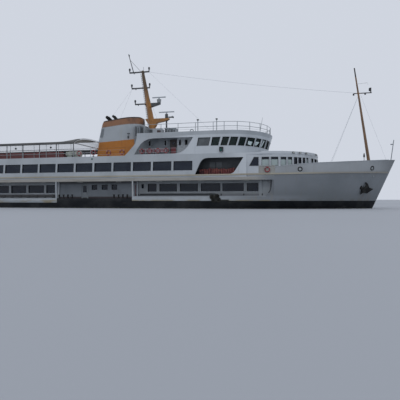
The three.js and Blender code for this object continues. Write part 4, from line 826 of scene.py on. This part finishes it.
# Tyres and a rubber roll that hang against the fore bulwark, with their lanyards
tyres = Kit("tyre_fenders", "tyre", angle=50)
lanyards = Kit("fender_lanyards", "wire")
TYRE = [(0, 0.2), (0.01, 0.28), (0.06, 0.3), (0.1, 0.27), (0.1, 0.17), (0.06, 0.15), (0.02, 0.14)]
for x, z, big in (
    (13.6, 1.34, 0.3), (14.15, 1.4, 0.3), (13.78, 1, 0.29), (14.33, 1.02, 0.28), (14, 1.2, 0.2)):
    out = side_out(x, z)
    centre = skin(x, z) + out * 0.012
    tyres.turned(centre, [(t, r * big / 0.3) for t, r in TYRE], 24, out)
    lanyards.bar(centre + UP * (big - 0.06) + out * 0.05, (x, -side_y(x, 1.45) - 0.03, 1.46), 0.014, 6)
tyres.tube([skin(x, 0.98, -0.062) for x in (14.46, 14.75, 15.1, 15.5)], 0.06, 12)
for x in (14.55, 15.42):
    lanyards.bar((x, -side_y(x, 0.98) - 0.06, 1), (x, -side_y(x, 1.45) - 0.03, 1.46), 0.014, 6)

# Side galleries: sill line, bench with slatted back, brackets, columns, ceiling lamps, and painted shade at
# the fore end
trim = Kit("gallery_trim", "white_plain", bevel=0.008)
trim.box(-26.3, -6.9, -5.045, -4.99, 1.735, 1.785)
trim.box(4, 20.3, -5.045, -4.99, 1.8, 1.85)
for x in (-6.86, 3.9, 18.9):
    trim.box(x, x + 0.16, -5.15, -4.99, MAIN_DECK, 3.24)
trim.box(18.75, 20.2, -5.03, -4.99, 1, 3.2)
benches = Kit("gallery_benches", "worn_wood", bevel=0.008)
for z in (1.4, 1.475, 1.55, 1.625):
    benches.box(-26, -7.2, -5.1, -5.06, z, z + 0.055)
for y in (-5.16, -5.27, -5.38, -5.49):
    benches.box(-26, -7.2, y - 0.08, y, 1.33, 1.365)
brackets = Kit("gallery_brackets", "dark_grey", bevel=0.006)
for x in row(-25.8, 1.22, 16):
    brackets.box(x, x + 0.04, -5.56, -5, 1.29, 1.33)
    brackets.box(x, x + 0.04, -5.12, -5, 1.29, 1.68)
    brackets.box(x, x + 0.04, -5.5, -5.44, 0.97, 1.3)
brackets.box(4.3, 13.7, -5.1, -5, 1.58, 1.76)
brackets.box(3.73, 4.12, -5.14, -5, 1.48, 1.72)
ceiling_lamps = Kit("gallery_lamps", "lamp", "white_paint", bevel=0.02)
for x in row(-24.6, 5.2, 9):
    ceiling_lamps.box(x, x + 0.7, -5.75, -5.6, 3.17, 3.245)
# Painted shade: a dark strip inside the fore end of the gallery's opening
PAINTED_SHADE_OUTLINE = ((20.26, 3.2), (20.26, 2.3), (20.14, 1.98), (19.93, 1.74), (19.84, 1.8), (20, 2.04),
          (20.09, 2.35), (20.09, 3.2))
Kit("gallery_end_painted_shade", "dark_grey", "white_paint").prism([skin(x, z, 0.14) for x, z in PAINTED_SHADE_OUTLINE], (0, 0.02, 0))

# Fittings of the boarding bay, and the small lamp on the belt above it
Kit("bay_fittings", "grey").box(-7.17, -6.95, -5.12, -5, 2.65, 3.04)
Kit("bay_lamps", "lamp", bevel=0.02).box(3.88, 4.1, -5.1, -5, 2.62, 2.78)
Kit("bay_pipes", "red").bar((3.68, -5.06, 1.36), (3.68, -5.06, 2.82), 0.03)
Kit("belt_lamps", "green_lamp").turned(
    skin(-1.41, 5.99), [(-0.02, 0.1), (0.03, 0.1), (0.07, 0.07), (0.09, 0.02)], 14, side_out(-1.41, 5.99))


def grip(kit, x, y, out, high, low, radius):
    """Bow handle on a door leaf."""
    kit.tube([(x, y, high), (x, y + out, high), (x, y + out, low), (x, y, low)], radius)


for side, sign in SIDES:
    # Doors of the main saloon: upper pane, kick plate and handle on each leaf
    body, y = f"main_door_{side}_body", sign * MAIN_HALF
    pane = Kit(f"main_door_pane_{side}", "glass", body=body, bevel=0.004, both=False)
    for face in (sign * 0.012, -sign * 0.13):
        pane.box(-3.42, -2.9, y + face - 0.008, y + face + 0.008, 1.95, 2.78)
    plate = Kit(f"main_door_trim_{side}", "steel", body=body, bevel=0.003, both=False)
    plate.box(-3.45, -2.87, y + sign * 0.004, y + sign * 0.016, 1.05, 1.3)
    grip(plate, -2.84, y, sign * 0.07, 1.98, 1.72, 0.014)

    # Doors of the boat-deck house: red lower panel, round light, handle
    body, y = f"house_door_{side}_body", sign * HOUSE_HALF
    panel = Kit(f"house_door_panel_{side}", "red", "door_paint", body, bevel=0.008, both=False)
    panel.box(8.13, 8.72, y, y + sign * 0.03, 6.6, 7.35)
    light = Kit(f"house_door_light_{side}", "glass", body=body, both=False)
    light.turned((8.42, y - sign * 0.01, 7.82), [(0, 0.17), (0.025, 0.17), (0.03, 0.15), (0.02, 0.001)], 24,
                 (0, sign, 0))
    handle = Kit(f"house_door_handle_{side}", "steel", body=body, both=False)
    grip(handle, 8.74, y, sign * 0.06, 7.5, 7.3, 0.012)

    # Side lights in their boxes under the wheelhouse windows
    y = sign * 6.32
    screen_box = Kit(f"side_light_box_{side}", "dark_grey", bevel=0.01, both=False)
    screen_box.box(14.42, 14.48, y, y + sign * 0.24, 6.5, 6.98)
    for z in (6.48, 6.95):
        screen_box.box(14.42, 14.85, y, y + sign * 0.24, z, z + 0.05)
    screen_box.box(14.42, 14.85, y, y + sign * 0.04, 6.5, 6.98)
    light = Kit(f"side_light_{side}", "green_lamp" if sign < 0 else "red_lamp", both=False)
    light.turned((14.6, y + sign * 0.13, 6.53), [(0, 0.06), (0.05, 0.08), (0.26, 0.08), (0.32, 0.05)], 16)

# Life rings, red with white bands, on the rails, in the screens' openings and on the bow gate
ring_red = Kit("life_rings", "red", angle=50)
ring_white = Kit("life_ring_bands", "ring_white", angle=50)
ring_hooks = Kit("life_ring_hooks", "steel")


def life_ring(centre, out=STARBOARD, big=0.27):
    centre, out = Vector(centre), Vector(out).normalized()
    ring_red.ring(centre, out, big, 0.062, 32, 12)
    side = out.cross(UP).normalized()
    for turn in (1, 3, 5, 7):
        angles = [pi / 4 * turn + (k - 2) * 0.07 for k in range(5)]
        ring_white.tube([centre + (side * cos(a) + UP * sin(a)) * big for a in angles], 0.067, 12)
    for share in (-0.5, 0.5):
        top = centre + side * (share * big) + UP * (big * 0.86)
        ring_hooks.bar(top, top - out * 0.12, 0.016, 6)


for x, z in ((-3.39, 6.76), (-1.42, 6.83), (0.6, 6.72), (2.35, 6.75)):
    life_ring((x, -6.04, z))
for x in (4.96, 5.92, 6.96, 7.98):
    life_ring((x, -6.12, 6.8), big=0.26)
gate_out = side_out(19.78, 4.36)
life_ring(skin(19.78, 4.36) + gate_out * 0.1, gate_out, 0.26)
life_ring((-27.9, -3.6, 6.9), (-1, 0, 0))

# Bench backs beside the house, red-brown behind the rings
side_seats = Kit("house_benches", "seat_red", bevel=0.008)
for z in (6.62, 6.76, 6.9, 7.04):
    side_seats.box(4.55, 7.86, -5.24, -5.2, z, z + 0.1)
side_seats.box(4.55, 7.86, -5.6, -5.2, 6.68, 6.72)
for x in (4.7, 6.2, 7.7):
    side_seats.box(x, x + 0.05, -5.55, -5.18, BOAT_DECK, 7.12)

# Rail that crosses the screens' openings, and the rail wires of the boat deck, the roof and the aft deck
fine_rails = Kit("rail_wires", "pale_grey", "white_paint")
for z in (6.62, 7.08):
    fine_rails.bar((4, -6.05, z), (10.6, -6.05, z), 0.022)
for x in row(4.1, 1.28, 6):
    fine_rails.bar((x, -6.05, BOAT_DECK), (x, -6.05, 7.08), 0.024)
for z in (6.58, 7.08):
    fine_rails.tube([(2.7, -5.95, z), (0.4, -5.9, z), (-1.9, -5.85, z), (-4.3, -5.8, z)], 0.012, 6)
path = [(5.2, -5.95, ROOF + 0.25), (13.6, -5.95, ROOF + 0.25)]
path += [arc_point(14.881, 4.714, 5.95, 90 - 18 * i, ROOF + 0.25) for i in range(6)]
fine_rails.tube(path, 0.012, 6)
for z in (UPPER_DECK + 0.27, UPPER_DECK + 0.8):
    xs = (-24.6, -26.6, -28.6, -29.5, -31, -32.2, -33.1, -33.6)
    fine_rails.tube([(x, 0.2 - side_y(x, UPPER_DECK), z) for x in xs] + [(-33.6, 0, z)], 0.014, 6)

# Beige gate in the bow, on the ship's side before the saloon front
Kit("bow_gate", "panel").strip(18.86, 20.61, 3.86, 4.77, 0.02, 0.05, 8)
gate_frame = Kit("bow_gate_frame", "panel")
for x0, x1 in ((18.84, 18.92), (19.68, 19.73), (20.55, 20.63)):
    gate_frame.strip(x0, x1, 3.84, 4.8, 0.04, 0.05, 2)
gate_frame.strip(18.84, 20.63, 4.75, 4.82, 0.045, 0.05, 8)

# Bow fittings: rimmed fairleads and hawse collars
leads = Kit("fairlead_plates", "pale_grey")
lead_rims = Kit("fairlead_rims", "black", angle=50)
for x, z in ((23.3, 4.4), (31.2, 4.6)):
    out = side_out(x, z)
    centre = skin(x, z) + out * 0.01
    lead_rims.ring(centre, out, 0.21, 0.06)
    leads.turned(centre, [(-0.05, 0.2), (0.012, 0.2), (0.006, 0.13), (-0.03, 0.06)], 24, out)
out = side_out(30.6, 2.5)
Kit("hawse_collars", "bow", "white_paint", angle=50).ring(skin(30.6, 2.5) + out * 0.012, out, 0.3, 0.05)

# Deck lamps on the saloon roof and under the top of the two roof poles
deck_lamps = Kit("deck_lamps", "dark_grey", bevel=0.012)
deck_glass = Kit("deck_lamp_glass", "lamp", bevel=0.008)
for degrees in (56, 48, 39, 19):
    at, away = arc_point(19, 6.34, 6.34, degrees, 6.26), arc_point(0, 1, 1, degrees, 0)
    across = Vector((-away.y, away.x, 0))
    for kit, near, far, wide, low, high in (
        (deck_lamps, 0, 0.05, 0.03, -0.03, 0.03), (deck_lamps, 0.04, 0.14, 0.13, -0.09, 0.09),
        (deck_glass, 0.13, 0.15, 0.11, -0.07, 0.07),
    ):
        foot = [at + away * a + across * b + UP * low for a, b in quad(near, far, -wide, wide)]
        kit.prism(foot, (0, 0, high - low))
for x in (11.79, 14.01):
    deck_lamps.box(x - 0.11, x + 0.11, -6.08, -5.88, 10.2, 10.32)
    deck_glass.box(x - 0.09, x + 0.09, -6.06, -5.9, 10.17, 10.21)

# Funnel: louvre at its after edge and small window
louvres = Kit("funnel_louvres", "grey")
for z in row(9.3, 0.11, 11):
    aft = -2.5 + (z - 9.3) * 0.2
    section = ((-2.19, 0), (-2.24, -0.03), (-2.24, -0.05), (-2.19, 0.05))
    louvres.prism([(aft, y, z + up) for y, up in section], (0.42, 0, 0))
small_window = Kit("funnel_windows", "dark_grey", bevel=0.008)
small_window.box(1.36, 1.52, -2.14, -1.9, 9.02, 9.32)
small_window.box(1.3, 1.6, -2.12, -1.9, 9.6, 9.7)
small_window.bar((1.44, -2.1, 9.3), (1.44, -2.1, 9.62), 0.02, 6)

# Grey housings with dark slots beside the funnel's nose: aft, fore, half breadth, top
housing = Kit("funnel_housing", "grey", bevel=0.02, both=False)
slots = Kit("funnel_housing_slots", "dark_grey", bevel=0.006, both=False)
for x0, x1, half, top in ((2.3, 2.95, 1.9, 10.6), (3.05, 3.7, 1.5, 10.55)):
    housing.box(x0, x1, -half, half, ROOF, top)
    housing.box(x0 - 0.03, x1 + 0.03, -half - 0.03, half + 0.03, top, top + 0.05)
    for y, out in ((-half, -0.03), (half, 0.03)):
        slots.box(x0 + 0.08, x0 + 0.26, y - 0.02, y + out, 9.3, top - 0.12)
        slots.box(x0 + 0.42, x0 + 0.52, y - 0.02, y + out, 9.3, top - 0.2)
sleeves = Kit("exhaust_sleeves", "black", "dark_metal", angle=50)
for y in (-1.5, -1.05):
    for low, high, radius in (
        ((-1.15, y, 11.38), (-1.95, y, 12.1), 0.2), ((-0.35, y, 11.48), (-0.95, y, 12.12), 0.155)):
        low, high = Vector(low), Vector(high)
        sleeves.turned(low.lerp(high, 0.35), [
            (0, radius * 0.8), (0.04, radius), (0.62, radius), (0.66, radius * 0.85), (0.6, radius * 0.7)],
                       14, high - low)

# Canopy: ribs and gable under the sheet, lamp globes on stems, slim stanchions and fascia
ARCH_RIDGE, RIDGE = 9.13, 8.64


def canopy_height(y, ridge):
    return 8.27 + (ridge - 8.27) * (1 - (abs(y) / 6) ** 3.5)


ribs = Kit("canopy_ribs", "canopy_frame", "grey_paint")
for i in range(10):
    ridge = RIDGE if i else ARCH_RIDGE
    x = -4.3 - i * 21.7 / 9
    ribs.tube([(x, y, canopy_height(y * 1.01, ridge) - 0.13) for y in (-5.7, -5.3, -4.9)], 0.032, 6)
arch = (5.6, 4.8, 4, 3, 1.8, 0, -1.8, -3, -4, -4.8, -5.6)
Kit("canopy_gable", "gable", "canopy_cloth", both=False).prism(
    [(-4.1, -5.94, 8.08), (-4.1, 0, 8.93), (-4.1, 5.94, 8.08)]
    + [(-4.1, y, canopy_height(y, ARCH_RIDGE) - 0.14) for y in arch], (0.03, 0, 0))
globes = Kit("canopy_lamps", "dark_grey", "glass", angle=60)
stems = Kit("canopy_lamp_stems", "dark_grey")
for x in (-17.88, -12.75, -7.62, -23):
    globes.turned((x, -5.62, 7.53), [(0, 0.02), (0.04, 0.09), (0.12, 0.125), (0.2, 0.1), (0.24, 0.04)], 18)
    stems.bar((x, -5.62, 7.76), (x, -5.62, 8.1), 0.012)
    stems.bar((x, -5.62, 8.09), (x, -5.76, 8.09), 0.02)
posts = Kit("canopy_stanchions", "pale_grey", "white_paint")
for x in row(-4.64, -1.755, 12):
    posts.bar((x, -5.8, BOAT_DECK), (x, -5.8, 8.16), 0.026)
Kit("canopy_fascia", "canopy_frame", "canopy_cloth", bevel=0.008).box(-25.9, -4.2, -5.93, -5.89, 7.99, 8.2)

# Boat-deck benches: backs and slats over the plain seats
slats = Kit("bench_slats", "wood", bevel=0.006)
SEAT = BOAT_DECK + 0.425
for z in row(BOAT_DECK + 0.34, 0.085, 6):
    slats.box(-25, -5.8, -5.74, -5.665, z - 0.07, z - 0.005)
for i in range(5):
    y = -5.2 - i * 0.09
    slats.box(-24.98, -5.8, y - 0.065, y, SEAT, SEAT + 0.025)
    for sign in (-1, 1):
        y = -2.6 + sign * (0.1 + 0.09 * i)
        slats.box(-23.98, -6.02, y - 0.03, y + 0.03, SEAT, SEAT + 0.025)

# Life-raft straps and cradle feet
straps = Kit("raft_straps", "dark_grey")
for x in (-5.35, -4.78, -4.33, -3.77):
    straps.ring((x, -5.2, BOAT_DECK + 0.5), (1, 0, 0), 0.352, 0.012, 24, 6)
for x in (-5.45, -4.65, -4.45, -3.65):
    straps.box(x - 0.03, x + 0.03, -5.52, -4.9, BOAT_DECK, BOAT_DECK + 0.3)

# Life jackets on racks behind the lobby openings, and the panes of the lobby's wall
jackets = Kit("life_jackets", "jacket", "door_paint", bevel=0.05)
random.seed(7)
for x in row(11.85, 0.28, 16):
    low = 3.93 + random.uniform(-0.04, 0.04)
    high = low + random.uniform(0.62, 0.78)
    y = -5.6 + random.uniform(-0.05, 0.05)
    jackets.box(x, x + 0.25, y, y + 0.28, low, high)
racks = Kit("jacket_racks", "steel")
for z in (3.9, 4.72):
    racks.bar((11.8, -5.38, z), (16.5, -5.38, z), 0.022)
for x in (11.82, 14.2, 16.48):
    racks.bar((x, -5.38, UPPER_DECK), (x, -5.38, 4.64), 0.024)
lobby_panes = Kit("lobby_panes", "bridge_blind", "glass", bevel=0.008)
for x in (12.98, 13.75):
    lobby_panes.box(x, x + 0.68, -5.03, -4.99, 4.66, 5.4)

# Main mast: ladder behind it
MAST_TOP = 18.3
ladder = Kit("mast_ladder", "steel", both=False)


def ladder_x(z):
    """Place of the ladder, behind the mast's leaning and tapering trunk."""
    share = (z - ROOF) / (MAST_TOP - ROOF)
    return 4.32 - share * 1.7 - (0.5 - share * 0.33) - 0.1


for y in (-0.17, 0.17):
    ladder.bar((ladder_x(9), y, 9), (ladder_x(17.9), y, 17.9), 0.018, 6)
for i in range(32):
    z = 9.2 + i * 0.27
    x = ladder_x(z)
    ladder.bar((x, -0.17, z), (x, 0.17, z), 0.013, 6)
    if i % 6 == 0:
        ladder.bar((x, -0.1, z), (x + 0.16, -0.1, z), 0.014, 6)

# Lamps and small fittings of both masts, and the light pole on the foredeck
mast_dark = Kit("mast_lamps", "dark_grey", bevel=0.01, both=False)
MAST_LAMP = [(0, 0.1), (0.04, 0.12), (0.24, 0.12), (0.29, 0.08), (0.31, 0.02)]
SMALL_LAMP = [(0, 0.05), (0.04, 0.1), (0.2, 0.1), (0.26, 0.04)]
for z, aft, fore in ((18.15, 0.75, 3.58), (16, 1.06, 3.67), (13.85, 1.55, 3.6)):
    for x in (aft + 0.02, fore - 0.04):
        mast_dark.turned((x, 0, z + 0.3), MAST_LAMP, 14)
    for share in (0.25, 0.75):
        x = aft + (fore - aft) * share
        mast_dark.box(x - 0.05, x + 0.05, -0.16, -0.06, z - 0.22, z - 0.06)
for x, z, profile in (
    (0.68, 20.4, [(0, 0.05), (0.03, 0.08), (0.2, 0.08), (0.25, 0.03)]),
    (30.6, 6.05, [(0, 0.06), (0.05, 0.11), (0.3, 0.09), (0.5, 0.03)]),
    (29.42, 13.42, SMALL_LAMP), (30.72, 13.45, SMALL_LAMP),
    (31.22, 13.85, [(0, 0.06), (0.04, 0.11), (0.34, 0.11), (0.4, 0.04)]),
):
    mast_dark.turned((x, 0, z), profile, 12)
mast_dark.bar((2.74, 0, 18.2), (2.74, 0, 18.83), 0.02, 6)
mast_dark.bar((30.6, 0, UPPER_DECK), (30.6, 0, 6.1), 0.03)
mast_dark.tube([(29.86, 0, 14.78), (31, 0, 14.86), (31.02, 0, 14.62)], 0.012, 6)
Kit("scanner_pedestal", "pale_grey", both=False).turned(
    (4.95, 0, 13.9), [(0, 0.2), (0.08, 0.24), (0.3, 0.24), (0.36, 0.16)], 16)
horns = Kit("horns", "dark_grey", angle=50)
horns.bar((6.3, -0.17, 11.75), (6.3, -0.17, 11.92), 0.025)
HORN = [(0, 0.05), (0.1, 0.06), (0.35, 0.05), (0.5, 0.075), (0.62, 0.12), (0.64, 0.125)]
horns.turned((6.28, -0.17, 11.92), HORN, 16, (1, 0, 0))

# Roof: bent vent pipe, whip antenna, dark slots of the lockers
roof_bits = Kit("roof_vent", "pale_grey", "white_paint", angle=50, both=False)
bend = [(10.05 + 0.2 * cos(a), -2.2, 9.62 + 0.2 * sin(a)) for a in (
    pi * (1 - i / 8) for i in range(9))]
roof_bits.tube([(9.85, -2.2, ROOF), *bend, (10.25, -2.2, 9.4)], 0.06, 10)
roof_bits.bar((18.6, -3, ROOF), (18.94, -3, 10.75), 0.035, 8, 0.015)
roof_slots = Kit("locker_slots", "dark_grey", bevel=0.006)
for x, half, top in ((6.25, 0.5, 10.3), (7.06, 0.6, 10.24)):
    roof_slots.box(x - 0.26, x - 0.02, -half - 0.02, 0.01 - half, 9.15, top)
    roof_slots.box(x + 0.1, x + 0.26, -half - 0.02, 0.01 - half, 9.3, top - 0.1)

# Standing wires between the masts and down to the decks; the long one sags by a quarter of a metre
wires = Kit("standing_wires", "wire", both=False)
high, low = Vector((3.55, 0, 18.1)), Vector((29.5, 0, 13.74))
wires.tube([high.lerp(low, i / 12) - UP * (i / 12 * (1 - i / 12)) for i in range(13)], 0.01, 6)
wires.bar((30.2, 0, 13.5), (33.05, 0, 5.6), 0.008, 6)
for sign in (-1, 1):
    wires.bar((30, 0, 13.5), (26.66, sign * 3.4, 5), 0.01, 6)
    wires.bar((3, 0, 16), (4.9, sign * 3.2, ROOF), 0.008, 6)
    wires.bar((1.15, 0, 16), (-1.6, sign * 1.4, 11.5), 0.007, 6)
wires.bar((3.6, 0, 18), (13, 0, ROOF), 0.008, 6)

for kit in KITS:
    kit.make()

# Stage and light
FLOOR = 900.0
floor_mesh = bpy.data.meshes.new("floor")
floor_mesh.from_pydata([(x, y, 0) for x, y in quad(-FLOOR, FLOOR, -FLOOR, FLOOR)], [], [(0, 1, 2, 3)])
floor = bpy.data.objects.new("floor", floor_mesh)
scene.collection.objects.link(floor)
f = Finish("floor")
f.link(0.75, f.shader.inputs["Roughness"])
f.link(f.patches((0.4, 0.42, 0.45), (0.43, 0.45, 0.48), 0.05, 2, 0.3, 0.7), f.shader.inputs["Base Color"])
floor_mesh.materials.append(f.material)

world = bpy.data.worlds.new("world")
world.use_nodes = True
scene.world = world
sky = world.node_tree.nodes["Background"]
sky.inputs["Color"].default_value = (0.66, 0.7, 0.78, 1)
sky.inputs["Strength"].default_value = 0.95
sun_data = bpy.data.lights.new("soft_key", "SUN")
sun_data.energy = 0.3
sun_data.angle = radians(50)
sun_data.color = (1, 0.98, 0.95)
sun = bpy.data.objects.new("soft_key", sun_data)
sun.rotation_euler = (radians(42), 0, radians(-20))
scene.collection.objects.link(sun)
scene.view_settings.view_transform = "Standard"
